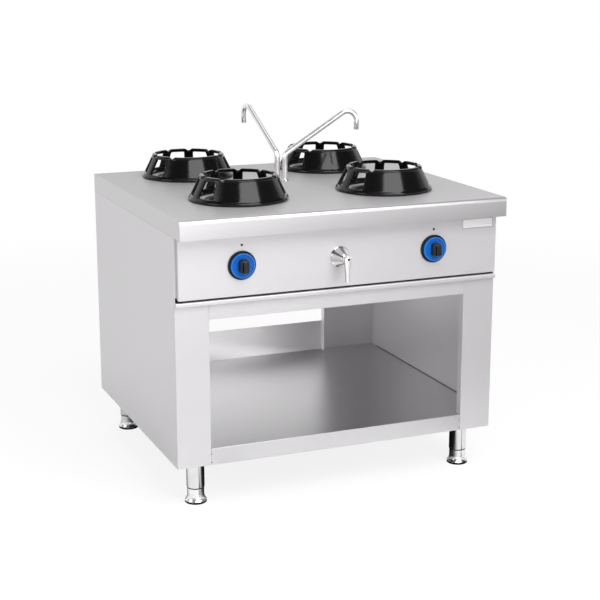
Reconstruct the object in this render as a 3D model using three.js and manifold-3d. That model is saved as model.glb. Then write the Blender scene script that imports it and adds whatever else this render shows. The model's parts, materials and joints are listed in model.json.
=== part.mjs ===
// Gas wok range on an open steel cabinet, in millimetres.
// X runs across the front, -Y is the front, +Z is up, and the feet stand on z = 0.
import * as THREE from "three";
import { mergeVertices } from "three/addons/utils/BufferGeometryUtils.js";
import Module from "manifold-3d";

const wasm = await Module();
wasm.setup();

// Overall size
const width = 1000;
const depth = 900;
const workHeight = 850;
const sheet = 2; // folded steel
const gap = 0.3; // between pieces that touch
const fine = 28; // sides of a large round piece
const coarse = 16; // sides of a small round piece
const hidden = 12; // sides of a round piece inside the body
const spoutSides = 12;
const pipeSides = 8; // sides of a thin pipe
const runningFit = 0.5; // round a piece that turns or slides
const past = 1; // how far a cutter reaches past what it cuts

// Worktop
const fasciaHeight = 56;
const nosingRadius = 12;
const rearEdgeRadius = 3;
const fasciaReturn = 20;
const wellRadius = 100; // opening in the deck over each burner

// Cabinet
const cabinetSetBack = 62; // from the worktop's front edge
const cabinetBottom = 128;
const shelfTop = 177;
const openingTop = 555;
const topRailTop = 597;
const postWidth = 100;
const rearPostWidth = 200; // below the burner compartment
const postReturn = 25;
const railReturn = 18;
const shelfUpstandHeight = 104; // at the rear edge

// Burner compartment
const panelSetBack = 45;
const panelInset = 7;
const panelBottom = 619;
const trimTop = 612;
const trimDepth = 12;
const trimRadius = 4;
const trimInset = 1;
const shadowGapRise = 6; // how far the dark slot in the posts reaches past panel and trim
const shadowGapCorner = 3; // steel left standing at the outer corner
const vent = { width: 90, height: 7, columns: 5, columnPitch: 130, rows: 3, rowPitch: 18, below: 24 };
const pipeClearance = 0.8;

// Controls, measured along the panel
const controlHeight = 706;
const controlShift = -12; // the row of controls sits a little left of the middle
const knobInset = 196; // from the panel's ends, before that shift
const bezelRadius = 41;
const bezelDepth = 6;
const bezelPlate = 2.5;
const bezelLip = 3.8;
const knobEdge = 1.5; // bevel of bezel and dial
const dialRadius = 36;
const dialThickness = 5.2;
const pushTravel = 4;
const gripWidth = 27;
const gripHeight = 39;
const gripDepth = 22;
const gripCorner = 9;
const gripBevel = 2;
const spindleRadius = 4;
const hubRadius = 7.5;
const hubLength = 2.5;
const gripSocket = 10; // depth of the spindle's hole in the grip
const shaftHoleRadius = 9;
const plateWidth = 100;
const plateHeight = 28;
const plateThickness = 1;
const plateInset = 13; // from the panel's right end
const plateDrop = 9; // from the panel's top edge

// Gas side
const valveRadius = 20;
const valveLength = 44;
const valveNose = 6;
const valveNoseRadius = 12;
const valveNeckRadius = 9;
const valveSetBack = 12; // behind the panel's front face
const valveWall = 6;
const plugRadius = 9.5;
const manifoldRadius = 13;
const manifoldHeight = 655;
const manifoldEnd = 26; // past the left valve
const manifoldBend = 29;
const inletInset = 122; // from the right side
const inletBore = 10;
const inletBoreDepth = 30;
const feedRadius = 6;
const feedBend = 16;
const feedLead = 30; // straight run before a pipe's first bend
const feedSlantLength = 176; // from where a rear pipe turns in to its burner
const outletSpacing = 24;
const outletStub = 8;
const stubWall = 1.5;

// Water side
const tapBodyRadius = 16;
const tapBodyLength = 40;
const tapNoseRadius = 10.4;
const tapNoseReach = 38;
const tapPinRadius = 5;
const tapPinDepth = 20;
const rosetteRadius = 30;
const rosetteReach = 40;
const rosetteRim = 3;
const rosetteTip = 14.5;
const rosetteSteps = 5;
const leverHubRadius = 12.5;
const leverTipRadius = 6.5;
const leverLength = 60;
const leverThickness = 12;
const leverStart = 45; // in front of the panel
const leverHubFront = 62;
const leverBevel = 3;
const leverClearance = 1;
const waterRadius = 6;
const waterInletX = 60;
const waterInletReach = 12; // behind the rear panel
const waterLead = 30;
const waterSlant = 60;
const tapOutletSpacing = 18;

// Twin spouts
const frontSpoutX = 14;
const frontSpoutInset = 530; // from the worktop's front edge
const rearSpoutX = 0;
const rearSpoutInset = 557;
const spoutRadius = 8.5;
const spoutBore = 7;
const spoutReach = 228;
const spoutBendHeight = 934;
const spoutCornerHeight = 1090; // where the rising run and the outlet's line would meet
const spoutOutletHeight = 1006;
const spoutBend = 26;
const hookBend = 29;
const rearSpoutAngle = 97; // degrees from +X towards +Y
const frontSpoutAngle = -12;
const collarRadius = 13;
const collarReach = 6; // above the deck
const collarHoleRadius = 14;
const collarSink = 5;
const collarEdge = 1.5;
const socketDepth = 40;
const spoutBlock = { width: 50, depth: 66, height: 48 };

// Burners and rings
const ringInset = 267; // from the worktop's sides
const frontRingInset = 273; // from its front edge
const rearRingInset = 158; // from its rear edge
const ring = {
  baseRadius: 146,
  beadHeight: 9,
  beadStep: 4,
  beadBevel: 3,
  beadShoulder: 2,
  topRadius: 111,
  height: 73,
  wall: 11,
  footInner: 118,
  footThickness: 6,
};
const ringSides = 36;
const pillarAngles = [46, 84.3, 122.6, 160.9]; // from the front, on both sides
const pillarWidth = 29;
const windowLow = 15;
const windowHigh = 61;
const notchWidth = 17;
const notchDepth = 6;
const bowlFlange = 118;
const bowlFloorRadius = 60;
const bowlDepth = 47;
const bowlHole = 26;
const stemRadius = 20;
const stemBottom = 738;
const burner = { radius: 62, height: 25, flare: 20, shoulder: 14, ledge: 11, wall: 6, chamberWall: 10 };
const cap = { radius: 56, height: 13, edge: 5, crown: 16, boss: 12, bossRise: 2 };
const barTop = 748;
const barWidth = 64;
const barFlange = 20;
const barCollar = 8;
const bowlEdge = 3; // clear of the well's edge

// Legs
const legInsetX = 72;
const legInsetY = 63; // from the cabinet's front and rear faces
const legRadius = 26;
const legWall = 3;
const legFlangeRadius = 36;
const legFlange = 3;
const footHeight = 47;
const footRadius = 32;
const footNeck = 24.5;
const footEdge = 1.5;
const footRim = 5;
const footFlareTop = 32;
const footSteps = 4;
const studRadius = 20;
const studLength = 62;

// Places worked out from the sizes above
const front = -depth / 2;
const rear = depth / 2;
const side = width / 2;
const deckUnderside = workHeight - sheet;
const bodyTop = workHeight - fasciaHeight - gap;
const cabinetFront = front + cabinetSetBack;
const panelFront = front + panelSetBack;
const openingSide = side - postWidth;
const rearOpeningSide = side - rearPostWidth;
const skin = side - sheet - gap; // what fits between the two side skins
const betweenPosts = openingSide - gap;
const betweenRearPosts = rearOpeningSide - gap;
const panelSide = side - panelInset;
const floorBottom = topRailTop + gap;
const floorTop = floorBottom + sheet;
const shelfBottom = shelfTop - sheet;
const legX = side - legInsetX;
const frontLegY = cabinetFront + legInsetY;
const rearLegY = rear - legInsetY;
const frontReach = -(panelFront - leverHubFront);
const ringX = side - ringInset;
const frontRingY = front + frontRingInset;
const rearRingY = rear - rearRingInset;
const inletX = side - inletInset;
const ringPlaces = {
  front_left: [-ringX, frontRingY],
  front_right: [ringX, frontRingY],
  rear_left: [-ringX, rearRingY],
  rear_right: [ringX, rearRingY],
};
const legPlaces = {
  front_left: [-legX, frontLegY],
  front_right: [legX, frontLegY],
  rear_left: [-legX, rearLegY],
  rear_right: [legX, rearLegY],
};
const frontSpoutY = front + frontSpoutInset;
const rearSpoutY = front + rearSpoutInset;
const spoutPlaces = [[frontSpoutX, frontSpoutY], [rearSpoutX, rearSpoutY]];
const spoutMiddle = { x: (frontSpoutX + rearSpoutX) / 2, y: (frontSpoutY + rearSpoutY) / 2 };
const sides = { left: -1, right: 1 };
const tapX = controlShift;
const knobOffset = panelSide - knobInset;
const knobX = { left: tapX - knobOffset, right: tapX + knobOffset };
const plateRight = panelSide - plateInset;
const plateTop = bodyTop - plateDrop;

// Finishes
const finishes = {
  steel: { color: 0xc6c6c9, roughness: 0.38, metalness: 1 },
  innerSteel: { color: 0xa9aaad, roughness: 0.45, metalness: 1 },
  blackEnamel: { color: 0x17171a, roughness: 0.22, metalness: 0 },
  castIron: { color: 0x2b2b2e, roughness: 0.6, metalness: 0.6 },
  chrome: { color: 0xe4e5e8, roughness: 0.08, metalness: 1 },
  blackPlastic: { color: 0x141416, roughness: 0.45, metalness: 0 },
  bluePlastic: { color: 0x2a74c4, roughness: 0.35, metalness: 0 },
  brass: { color: 0xb8954f, roughness: 0.35, metalness: 1 },
  copper: { color: 0xb5714f, roughness: 0.35, metalness: 1 },
};
const range = new THREE.Group();

// Adds one piece to the range
function piece(name, solid, finish) {
  const mesh = new THREE.Mesh(geometryOf(solid), new THREE.MeshStandardMaterial(finishes[finish]));
  mesh.name = name;
  range.add(mesh);
}

// A closed geometry as a solid that can be joined and cut
function solidOf(geometry) {
  const bare = geometry.index ? geometry.toNonIndexed() : geometry.clone();
  bare.deleteAttribute("normal");
  bare.deleteAttribute("uv");
  const welded = mergeVertices(bare, 1e-4);
  const mesh = new wasm.Mesh({
    numProp: 3,
    vertProperties: new Float32Array(welded.attributes.position.array),
    triVerts: new Uint32Array(welded.index.array),
  });
  return new wasm.Manifold(mesh);
}

// A solid back as a geometry with flat-shaded faces
function geometryOf(solid) {
  const mesh = solid.getMesh();
  const indexed = new THREE.BufferGeometry();
  indexed.setAttribute("position", new THREE.BufferAttribute(new Float32Array(mesh.vertProperties), 3));
  indexed.setIndex(new THREE.BufferAttribute(new Uint32Array(mesh.triVerts), 1));
  const geometry = indexed.toNonIndexed();
  geometry.computeVertexNormals();
  return geometry;
}

function join(...solids) {
  return solids.reduce((whole, next) => whole.add(next));
}

function cut(whole, ...cutters) {
  return cutters.reduce((rest, next) => rest.subtract(next), whole);
}

// A box from its two corners
function box(x0, x1, y0, y1, z0, z1) {
  const geometry = new THREE.BoxGeometry(x1 - x0, y1 - y0, z1 - z0);
  geometry.translate((x0 + x1) / 2, (y0 + y1) / 2, (z0 + z1) / 2);
  return solidOf(geometry);
}

function extruded(shape, length) {
  return new THREE.ExtrudeGeometry(shape, { depth: length, bevelEnabled: false, curveSegments: 6 });
}

// An outline in X and Y, raised from z0 to z1
function raised(shape, z0, z1) {
  return solidOf(extruded(shape, z1 - z0).translate(0, 0, z0));
}

// An outline in Y and Z, drawn out from x0 to x1
function drawnAlongX(shape, x0, x1) {
  const toYZ = new THREE.Matrix4().set(0, 0, 1, x0, 1, 0, 0, 0, 0, 1, 0, 0, 0, 0, 0, 1);
  return solidOf(extruded(shape, x1 - x0).applyMatrix4(toYZ));
}

// An outline in X and Z, drawn out from y0 back to y1
function drawnAlongY(shape, y0, y1) {
  return solidOf(extruded(shape, y1 - y0).rotateX(Math.PI / 2).translate(0, y1, 0));
}

function outline(points) {
  return new THREE.Shape(points.map(([u, v]) => new THREE.Vector2(u, v)));
}

// A profile of [radius, height] points turned about the vertical line through (x, y)
function turned(profile, sidesRound, x = 0, y = 0) {
  const points = profile.map(([r, z]) => new THREE.Vector2(r, z));
  return solidOf(new THREE.LatheGeometry(points, sidesRound).rotateX(Math.PI / 2).translate(x, y, 0));
}

// A profile of [radius, distance in front of the panel] points turned about a control's axis
function turnedOnPanel(profile, sidesRound, x, z = controlHeight) {
  const points = profile.map(([r, out]) => new THREE.Vector2(r, out));
  const geometry = new THREE.LatheGeometry(points, sidesRound);
  return solidOf(geometry.rotateZ(Math.PI).translate(x, panelFront, z));
}

function disc(radius, x, y, z0, z1, sidesRound = coarse) {
  return turned([[0, z0], [radius, z0], [radius, z1], [0, z1]], sidesRound, x, y);
}

function discOnPanel(radius, x, from, to, sidesRound = coarse) {
  return turnedOnPanel([[0, from], [radius, from], [radius, to], [0, to]], sidesRound, x);
}

// A line through corner points, rounded at each corner, with one station at each end of a straight run
class BentPath extends THREE.Curve {
  constructor(corners, radius, perBend = 4) {
    super();
    const at = corners.map((corner) => new THREE.Vector3(...corner));
    this.stations = [];
    for (let i = 0; i < at.length; i += 1) {
      const before = at[i].clone().sub(at[Math.max(i - 1, 0)]).normalize();
      const after = at[Math.min(i + 1, at.length - 1)].clone().sub(at[i]).normalize();
      if (i === 0 || i === at.length - 1) {
        this.stations.push({ place: at[i], heading: i === 0 ? after : before });
        continue;
      }
      const bendRadius = Array.isArray(radius) ? radius[i - 1] : radius;
      const turn = before.angleTo(after);
      const inward = after.clone().addScaledVector(before, -Math.cos(turn)).normalize();
      const start = at[i].clone().addScaledVector(before, -bendRadius * Math.tan(turn / 2));
      const centre = start.clone().addScaledVector(inward, bendRadius);
      for (let k = 0; k <= perBend; k += 1) {
        const angle = (turn * k) / perBend;
        const place = centre
          .clone()
          .addScaledVector(inward, -bendRadius * Math.cos(angle))
          .addScaledVector(before, bendRadius * Math.sin(angle));
        const along = before.clone().multiplyScalar(Math.cos(angle));
        const heading = along.addScaledVector(inward, Math.sin(angle));
        this.stations.push({ place, heading });
      }
    }
    this.steps = this.stations.length - 1;
  }
  station(t) {
    return this.stations[Math.round(t * this.steps)];
  }
  getPointAt(t, target = new THREE.Vector3()) {
    return target.copy(this.station(t).place);
  }
  getTangentAt(t, target = new THREE.Vector3()) {
    return target.copy(this.station(t).heading);
  }
}

function circle(radius, sidesRound) {
  const points = [];
  for (let i = 0; i < sidesRound; i += 1) {
    const angle = (2 * Math.PI * i) / sidesRound;
    points.push(new THREE.Vector2(radius * Math.cos(angle), radius * Math.sin(angle)));
  }
  return points;
}

// A round pipe through corner points, with a bore if one is given
function pipe(corners, radius, bendRadius, { bore = 0, sidesRound = pipeSides, perBend = 4 } = {}) {
  const path = new BentPath(corners, bendRadius, perBend);
  const section = new THREE.Shape(circle(radius, sidesRound));
  if (bore > 0) section.holes.push(new THREE.Path(circle(bore, sidesRound)));
  return solidOf(new THREE.ExtrudeGeometry(section, { steps: path.steps, extrudePath: path }));
}

// Worktop: a pressed tray with its edges folded down, open under the deck
function makeWorktop() {
  const low = workHeight - fasciaHeight;
  const outer = new THREE.Shape();
  outer.moveTo(front, low);
  outer.lineTo(rear, low);
  outer.lineTo(rear, workHeight - rearEdgeRadius);
  outer.absarc(rear - rearEdgeRadius, workHeight - rearEdgeRadius, rearEdgeRadius, 0, Math.PI / 2);
  outer.lineTo(front + nosingRadius, workHeight);
  outer.absarc(front + nosingRadius, workHeight - nosingRadius, nosingRadius, Math.PI / 2, Math.PI);
  outer.closePath();
  const inner = new THREE.Shape();
  inner.moveTo(front + sheet, low - past);
  inner.lineTo(rear - sheet, low - past);
  inner.lineTo(rear - sheet, deckUnderside);
  inner.lineTo(front + nosingRadius, deckUnderside);
  inner.absarc(front + nosingRadius, workHeight - nosingRadius, nosingRadius - sheet, Math.PI / 2, Math.PI);
  inner.closePath();
  const tray = cut(
    drawnAlongX(outer, -side, side),
    drawnAlongX(inner, -side + sheet, side - sheet),
  );
  const lip = box(-side, side, front, front + fasciaReturn, low, low + sheet);
  const wells = Object.values(ringPlaces).map(([x, y]) =>
    disc(wellRadius, x, y, deckUnderside - past, workHeight + past, ringSides));
  const collars = spoutPlaces.map(([x, y]) =>
    disc(collarHoleRadius, x, y, deckUnderside - past, workHeight + past));
  piece("worktop", cut(join(tray, lip), ...wells, ...collars), "steel");
}

// Plan of one side: its skin, with a post folded at the front and the rear edge
function sideRim(sign, rearEdge) {
  const rim = [
    [openingSide, cabinetFront + postReturn],
    [openingSide, cabinetFront],
    [side, cabinetFront],
    [side, rear],
    [rearEdge, rear],
    [rearEdge, rear - postReturn],
    [rearEdge + sheet, rear - postReturn],
    [rearEdge + sheet, rear - sheet],
    [side - sheet, rear - sheet],
    [side - sheet, cabinetFront + sheet],
    [openingSide + sheet, cabinetFront + sheet],
    [openingSide + sheet, cabinetFront + postReturn],
  ];
  return outline(rim.map(([x, y]) => [sign * x, y]));
}

// Side: the rear post is wider beside the open cabinet
function makeSide(name, sign) {
  const skinAndPosts = join(
    raised(sideRim(sign, rearOpeningSide), cabinetBottom, topRailTop),
    raised(sideRim(sign, openingSide), topRailTop, bodyTop),
  );
  const slotInner = openingSide - past;
  const slotOuter = side - shadowGapCorner;
  const slot = box(
    Math.min(sign * slotInner, sign * slotOuter),
    Math.max(sign * slotInner, sign * slotOuter),
    cabinetFront - past,
    cabinetFront + postReturn + past,
    trimTop - shadowGapRise,
    panelBottom + shadowGapRise,
  );
  piece(name, cut(skinAndPosts, slot), "steel");
}

// A flat sheet that fills the cabinet between the side skins, notched round the posts' returns
function deckPlate(z0, z1, frontEdge, rearEdge, rearSide) {
  const frontFold = cabinetFront + sheet + gap;
  const rearFold = rear - sheet - gap;
  const middle = box(-betweenPosts, betweenPosts, frontEdge, frontFold + past, z0, z1);
  const rearMiddle = box(-rearSide + gap, rearSide - gap, rearFold - past, rearEdge, z0, z1);
  const plate = join(box(-skin, skin, frontFold, rearFold, z0, z1), middle, rearMiddle);
  const notches = [-1, 1].flatMap((sign) => {
    const notch = (inner, y0, y1) => {
      const edges = [sign * (inner - gap), sign * (inner + sheet + gap)];
      return box(Math.min(...edges), Math.max(...edges), y0, y1, z0 - past, z1 + past);
    };
    return [
      notch(openingSide, frontFold - past, cabinetFront + postReturn + gap),
      notch(rearSide, rear - postReturn - gap, rearFold + past),
    ];
  });
  return cut(plate, ...notches);
}

// Shelf: folded down at the front and the rear as the bottom rails, and up at the rear
function makeShelf() {
  const plate = deckPlate(shelfBottom, shelfTop, cabinetFront, rear, rearOpeningSide);
  const low = cabinetBottom;
  const upstandTop = shelfTop + shelfUpstandHeight;
  const folds = [
    box(-betweenPosts, betweenPosts, cabinetFront, cabinetFront + sheet, low, shelfTop),
    box(-betweenPosts, betweenPosts, cabinetFront, cabinetFront + railReturn, low, low + sheet),
    box(-betweenRearPosts, betweenRearPosts, rear - sheet, rear, low, upstandTop),
    box(-betweenRearPosts, betweenRearPosts, rear - railReturn, rear, low, low + sheet),
  ];
  piece("base_shelf", join(plate, ...folds), "steel");
}

// Top rail: a channel between the posts, open towards the inside
function makeTopRail(name, face, inward, half) {
  const channel = outline([
    [face, openingTop],
    [face + inward * railReturn, openingTop],
    [face + inward * railReturn, openingTop + sheet],
    [face + inward * sheet, openingTop + sheet],
    [face + inward * sheet, topRailTop - sheet],
    [face + inward * railReturn, topRailTop - sheet],
    [face + inward * railReturn, topRailTop],
    [face, topRailTop],
  ]);
  piece(name, drawnAlongX(channel, -half, half), "steel");
}

// Trim rail: the rounded strip that closes the cabinet below the dark gap
function makeTrimRail() {
  const back = cabinetFront - gap;
  const nose = back - trimDepth;
  const low = floorBottom;
  const strip = new THREE.Shape();
  strip.moveTo(back, low);
  strip.lineTo(back, trimTop);
  strip.lineTo(nose + trimRadius, trimTop);
  strip.absarc(nose + trimRadius, trimTop - trimRadius, trimRadius, Math.PI / 2, Math.PI);
  strip.absarc(nose + trimRadius, low + trimRadius, trimRadius, Math.PI, 1.5 * Math.PI);
  strip.closePath();
  piece("trim_rail", drawnAlongX(strip, -side + trimInset, side - trimInset), "steel");
}

function makeFloor() {
  const frontEdge = cabinetFront + sheet;
  const rearEdge = rear - sheet - gap;
  const plate = deckPlate(floorBottom, floorTop, frontEdge, rearEdge, openingSide);
  piece("burner_box_floor", plate, "innerSteel");
}

// Control panel: a shallow pan that stands in front of the posts
function makeControlPanel() {
  const back = cabinetFront - gap;
  const pan = join(
    box(-panelSide, panelSide, panelFront, panelFront + sheet, panelBottom, bodyTop),
    box(-panelSide, panelSide, panelFront, back, panelBottom, panelBottom + sheet),
    box(-panelSide, panelSide, panelFront, back, bodyTop - sheet, bodyTop),
    box(-panelSide, -panelSide + sheet, panelFront, back, panelBottom, bodyTop),
    box(panelSide - sheet, panelSide, panelFront, back, panelBottom, bodyTop),
  );
  const holes = [
    discOnPanel(shaftHoleRadius, knobX.left, -sheet - past, past),
    discOnPanel(shaftHoleRadius, knobX.right, -sheet - past, past),
    discOnPanel(tapNoseRadius + runningFit, tapX, -sheet - past, past),
  ];
  piece("control_panel", cut(pan, ...holes), "steel");
  const plateFace = panelFront - gap;
  const badge = box(
    plateRight - plateWidth, plateRight,
    plateFace - plateThickness, plateFace,
    plateTop - plateHeight, plateTop,
  );
  piece("blank_plate", badge, "steel");
}

// Rear panel: closes the burner compartment, with vent slots and two pipe holes
function makeRearPanel() {
  const low = floorTop + gap;
  const sheetSolid = join(
    box(-betweenPosts, betweenPosts, rear - sheet, rear, low, bodyTop),
    box(-betweenPosts, betweenPosts, rear - railReturn, rear, bodyTop - sheet, bodyTop),
  );
  const slots = [];
  for (let column = 0; column < vent.columns; column += 1) {
    for (let row = 0; row < vent.rows; row += 1) {
      const x = (column - (vent.columns - 1) / 2) * vent.columnPitch;
      const z = bodyTop - vent.below - row * vent.rowPitch;
      const half = vent.width / 2;
      slots.push(box(x - half, x + half, rear - sheet - past, rear + past, z - vent.height, z));
    }
  }
  const pipeHole = (x, z, radius) => {
    const hole = circle(radius, coarse).map((point) => [x + point.x, z + point.y]);
    return drawnAlongY(outline(hole), rear - sheet - past, rear + past);
  };
  const holes = [
    pipeHole(inletX, manifoldHeight, manifoldRadius + pipeClearance),
    pipeHole(waterInletX, controlHeight, waterRadius + pipeClearance),
  ];
  piece("rear_panel", cut(sheetSolid, ...slots, ...holes), "steel");
}

// Leg: a tube with a round flange that carries the shelf, and a foot that screws in and out
function makeLeg(place, [x, y]) {
  const top = shelfBottom - gap;
  const bore = legRadius - legWall;
  const tube = [
    [bore, footHeight + gap],
    [legRadius, footHeight + gap],
    [legRadius, top - legFlange],
    [legFlangeRadius, top - legFlange],
    [legFlangeRadius, top],
    [bore, top],
    [bore, footHeight + gap],
  ];
  piece(`leg_tube_${place}`, turned(tube, coarse, x, y), "chrome");
  const flare = [];
  for (let i = 0; i <= footSteps; i += 1) {
    const share = i / footSteps;
    const r = footNeck + (footRadius - footNeck) * (1 - share) ** 3;
    flare.push([r, THREE.MathUtils.lerp(footRim, footFlareTop, share)]);
  }
  const foot = [
    [0, 0],
    [footRadius - footEdge, 0],
    [footRadius, footEdge],
    ...flare,
    [footNeck, footHeight - footEdge],
    [footNeck - footEdge, footHeight],
    [studRadius, footHeight],
    [studRadius, footHeight + studLength],
    [0, footHeight + studLength],
  ];
  piece(`foot_${place}`, turned(foot, coarse, x, y), "chrome");
}

// Wok ring: a cast cone, solid at the front, with windows and rim notches round the rest
function makeRing(place, [x, y]) {
  const z = workHeight + gap;
  const wallFoot = ring.beadHeight + ring.beadStep;
  const innerFoot = ring.baseRadius - ring.beadStep - ring.wall;
  const profile = [
    [ring.footInner, z],
    [ring.baseRadius - ring.beadBevel, z],
    [ring.baseRadius, z + ring.beadBevel],
    [ring.baseRadius, z + ring.beadHeight - ring.beadShoulder],
    [ring.baseRadius - ring.beadStep, z + wallFoot],
    [ring.topRadius, z + ring.height],
    [ring.topRadius - ring.wall, z + ring.height],
    [innerFoot, z + wallFoot],
    [ring.footInner, z + ring.footThickness],
    [ring.footInner, z],
  ];
  const cone = turned(profile, ringSides);
  const radiusAt = (height) => {
    const share = (height - wallFoot) / (ring.height - wallFoot);
    return THREE.MathUtils.lerp(ring.baseRadius - ring.beadStep, ring.topRadius, share) - ring.wall / 2;
  };
  const pitch = THREE.MathUtils.degToRad(pillarAngles[1] - pillarAngles[0]);
  const halfWindow = (height) => radiusAt(height) * Math.sin(pitch / 2) - pillarWidth / 2;
  const trapezoid = (low, high, halfLow, halfHigh) =>
    drawnAlongY(
      outline([[-halfLow, z + low], [halfLow, z + low], [halfHigh, z + high], [-halfHigh, z + high]]),
      -ring.baseRadius - past,
      -ring.topRadius / 2,
    );
  const window = trapezoid(windowLow, windowHigh, halfWindow(windowLow), halfWindow(windowHigh));
  const notch = trapezoid(ring.height - notchDepth, ring.height + past, notchWidth / 4, notchWidth / 2);
  const cutters = [window.rotate([0, 0, 180])];
  for (const sign of [-1, 1]) {
    pillarAngles.forEach((angle, i) => {
      cutters.push(notch.rotate([0, 0, sign * angle]));
      if (i > 0) cutters.push(window.rotate([0, 0, (sign * (angle + pillarAngles[i - 1])) / 2]));
    });
  }
  piece(`wok_ring_${place}`, cut(cone, ...cutters).translate([x, y, 0]), "blackEnamel");
}

// Burner: a bowl hung under the deck, a cast body on its bar, and a screwed cap
function makeBurner(place, [x, y]) {
  const rim = deckUnderside - gap;
  const floor = rim - bowlDepth;
  const bowl = [
    [bowlHole, floor - sheet],
    [bowlFloorRadius + sheet / 2, floor - sheet],
    [wellRadius - bowlEdge, rim - sheet],
    [bowlFlange, rim - sheet],
    [bowlFlange, rim],
    [wellRadius - bowlEdge - sheet / 2, rim],
    [bowlFloorRadius, floor],
    [bowlHole, floor],
    [bowlHole, floor - sheet],
  ];
  piece(`burner_bowl_${place}`, turned(bowl, coarse, x, y), "castIron");
  const seat = floor + gap;
  const burnerTop = seat + burner.height;
  const ledge = seat + burner.ledge;
  const body = [
    [0, stemBottom],
    [stemRadius, stemBottom],
    [stemRadius, barTop + gap],
    [stemRadius + barCollar, barTop + gap],
    [stemRadius + barCollar, barTop + gap + barCollar],
    [stemRadius, barTop + gap + barCollar],
    [stemRadius, seat],
    [burner.radius - burner.flare, seat],
    [burner.radius, seat + burner.shoulder],
    [burner.radius, burnerTop],
    [cap.radius - burner.wall, burnerTop],
    [cap.radius - burner.chamberWall, ledge],
    [0, ledge],
  ];
  piece(`burner_body_${place}`, turned(body, hidden, x, y), "castIron");
  const capBase = burnerTop + gap;
  const lid = [
    [0, capBase],
    [cap.radius, capBase],
    [cap.radius, capBase + cap.edge],
    [cap.radius - cap.crown, capBase + cap.height - cap.bossRise],
    [cap.boss, capBase + cap.height],
    [0, capBase + cap.height],
  ];
  piece(`burner_cap_${place}`, turned(lid, coarse, x, y), "castIron");
}

// Bar that carries two burners, from one side skin to the other
function makeBurnerBar(name, y) {
  const half = barWidth / 2;
  const channel = outline([
    [y - half, barTop - barFlange],
    [y - half + sheet, barTop - barFlange],
    [y - half + sheet, barTop - sheet],
    [y + half - sheet, barTop - sheet],
    [y + half - sheet, barTop - barFlange],
    [y + half, barTop - barFlange],
    [y + half, barTop],
    [y - half, barTop],
  ]);
  const holes = [-ringX, ringX].map((x) =>
    disc(stemRadius + gap, x, y, barTop - sheet - past, barTop + past, hidden));
  piece(name, cut(drawnAlongX(channel, -skin, skin), ...holes), "innerSteel");
}

// Gas valve with two outlets, its spindle, and the knob that slides on the spindle
function makeGasControl(name) {
  const x = knobX[name];
  const nose = -valveSetBack;
  const back = nose - valveNose - valveLength;
  const bodyAxisY = panelFront - nose + valveNose + valveLength / 2;
  const chamber = nose - valveNose - valveWall;
  const shell = turnedOnPanel([
    [0, back],
    [valveRadius, back],
    [valveRadius, nose - valveNose],
    [valveNoseRadius, nose - valveNose],
    [valveNoseRadius, nose],
    [spindleRadius + runningFit, nose],
    [spindleRadius + runningFit, chamber],
    [plugRadius + runningFit, chamber],
    [plugRadius + runningFit, back + valveWall],
    [0, back + valveWall],
  ], coarse, x);
  const neckBottom = manifoldHeight + manifoldRadius + gap;
  const neck = disc(valveNeckRadius, x, bodyAxisY, neckBottom, controlHeight - valveRadius + valveWall / 2);
  const stubs = [-1, 1].map((which) => {
    const stubX = x + (which * outletSpacing) / 2;
    return discOnPanel(feedRadius + stubWall, stubX, back - outletStub, back + valveWall / 2);
  });
  piece(`gas_valve_${name}`, join(shell, neck, ...stubs), "brass");

  const plugBack = back + valveWall + runningFit;
  const dialBack = bezelPlate + gap + pushTravel + runningFit;
  const dialFace = dialBack + dialThickness;
  const gripStart = dialFace + gap;
  const bore = spindleRadius + gap;
  const tip = gripStart + gripSocket - pushTravel - runningFit;
  const spindle = [
    [0, plugBack],
    [plugRadius, plugBack],
    [plugRadius, chamber - runningFit],
    [spindleRadius, chamber - runningFit],
    [spindleRadius, tip],
    [0, tip],
  ];
  piece(`valve_spindle_${name}`, turnedOnPanel(spindle, coarse, x), "brass");

  const bezel = [
    [shaftHoleRadius, gap],
    [bezelRadius, gap],
    [bezelRadius, bezelDepth - knobEdge],
    [bezelRadius - knobEdge, bezelDepth],
    [bezelRadius - bezelLip, bezelDepth],
    [bezelRadius - bezelLip, bezelPlate],
    [shaftHoleRadius, bezelPlate],
    [shaftHoleRadius, gap],
  ];
  piece(`knob_bezel_${name}`, turnedOnPanel(bezel, fine, x), "blackPlastic");

  const hubBack = dialBack - hubLength;
  const dial = [
    [bore, hubBack],
    [hubRadius, hubBack],
    [hubRadius, dialBack],
    [dialRadius, dialBack],
    [dialRadius, dialFace - knobEdge],
    [dialRadius - knobEdge, dialFace],
    [bore, dialFace],
    [bore, hubBack],
  ];
  piece(`knob_dial_${name}`, turnedOnPanel(dial, fine, x), "bluePlastic");
  makeGrip(`knob_grip_${name}`, x, gripStart, bore);
}

// Grip: a block with round corners, a little narrower at its face, with a hole for the spindle
function makeGrip(name, x, start, bore) {
  const block = (inset) => {
    const radius = gripCorner - inset;
    const across = gripWidth / 2 - gripCorner;
    const up = gripHeight / 2 - gripCorner;
    const shape = new THREE.Shape();
    shape.absarc(x + across, controlHeight + up, radius, 0, Math.PI / 2);
    shape.absarc(x - across, controlHeight + up, radius, Math.PI / 2, Math.PI);
    shape.absarc(x - across, controlHeight - up, radius, Math.PI, 1.5 * Math.PI);
    shape.absarc(x + across, controlHeight - up, radius, 1.5 * Math.PI, 2 * Math.PI);
    shape.closePath();
    return shape;
  };
  const y = panelFront - start;
  const face = y - gripDepth;
  const solid = join(
    drawnAlongY(block(0), face + gripBevel, y),
    drawnAlongY(block(gripBevel), face, face + gripBevel + past),
  );
  const hole = discOnPanel(bore, x, start - past, start + gripSocket);
  piece(name, cut(solid, hole), "blackPlastic");
}

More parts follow.
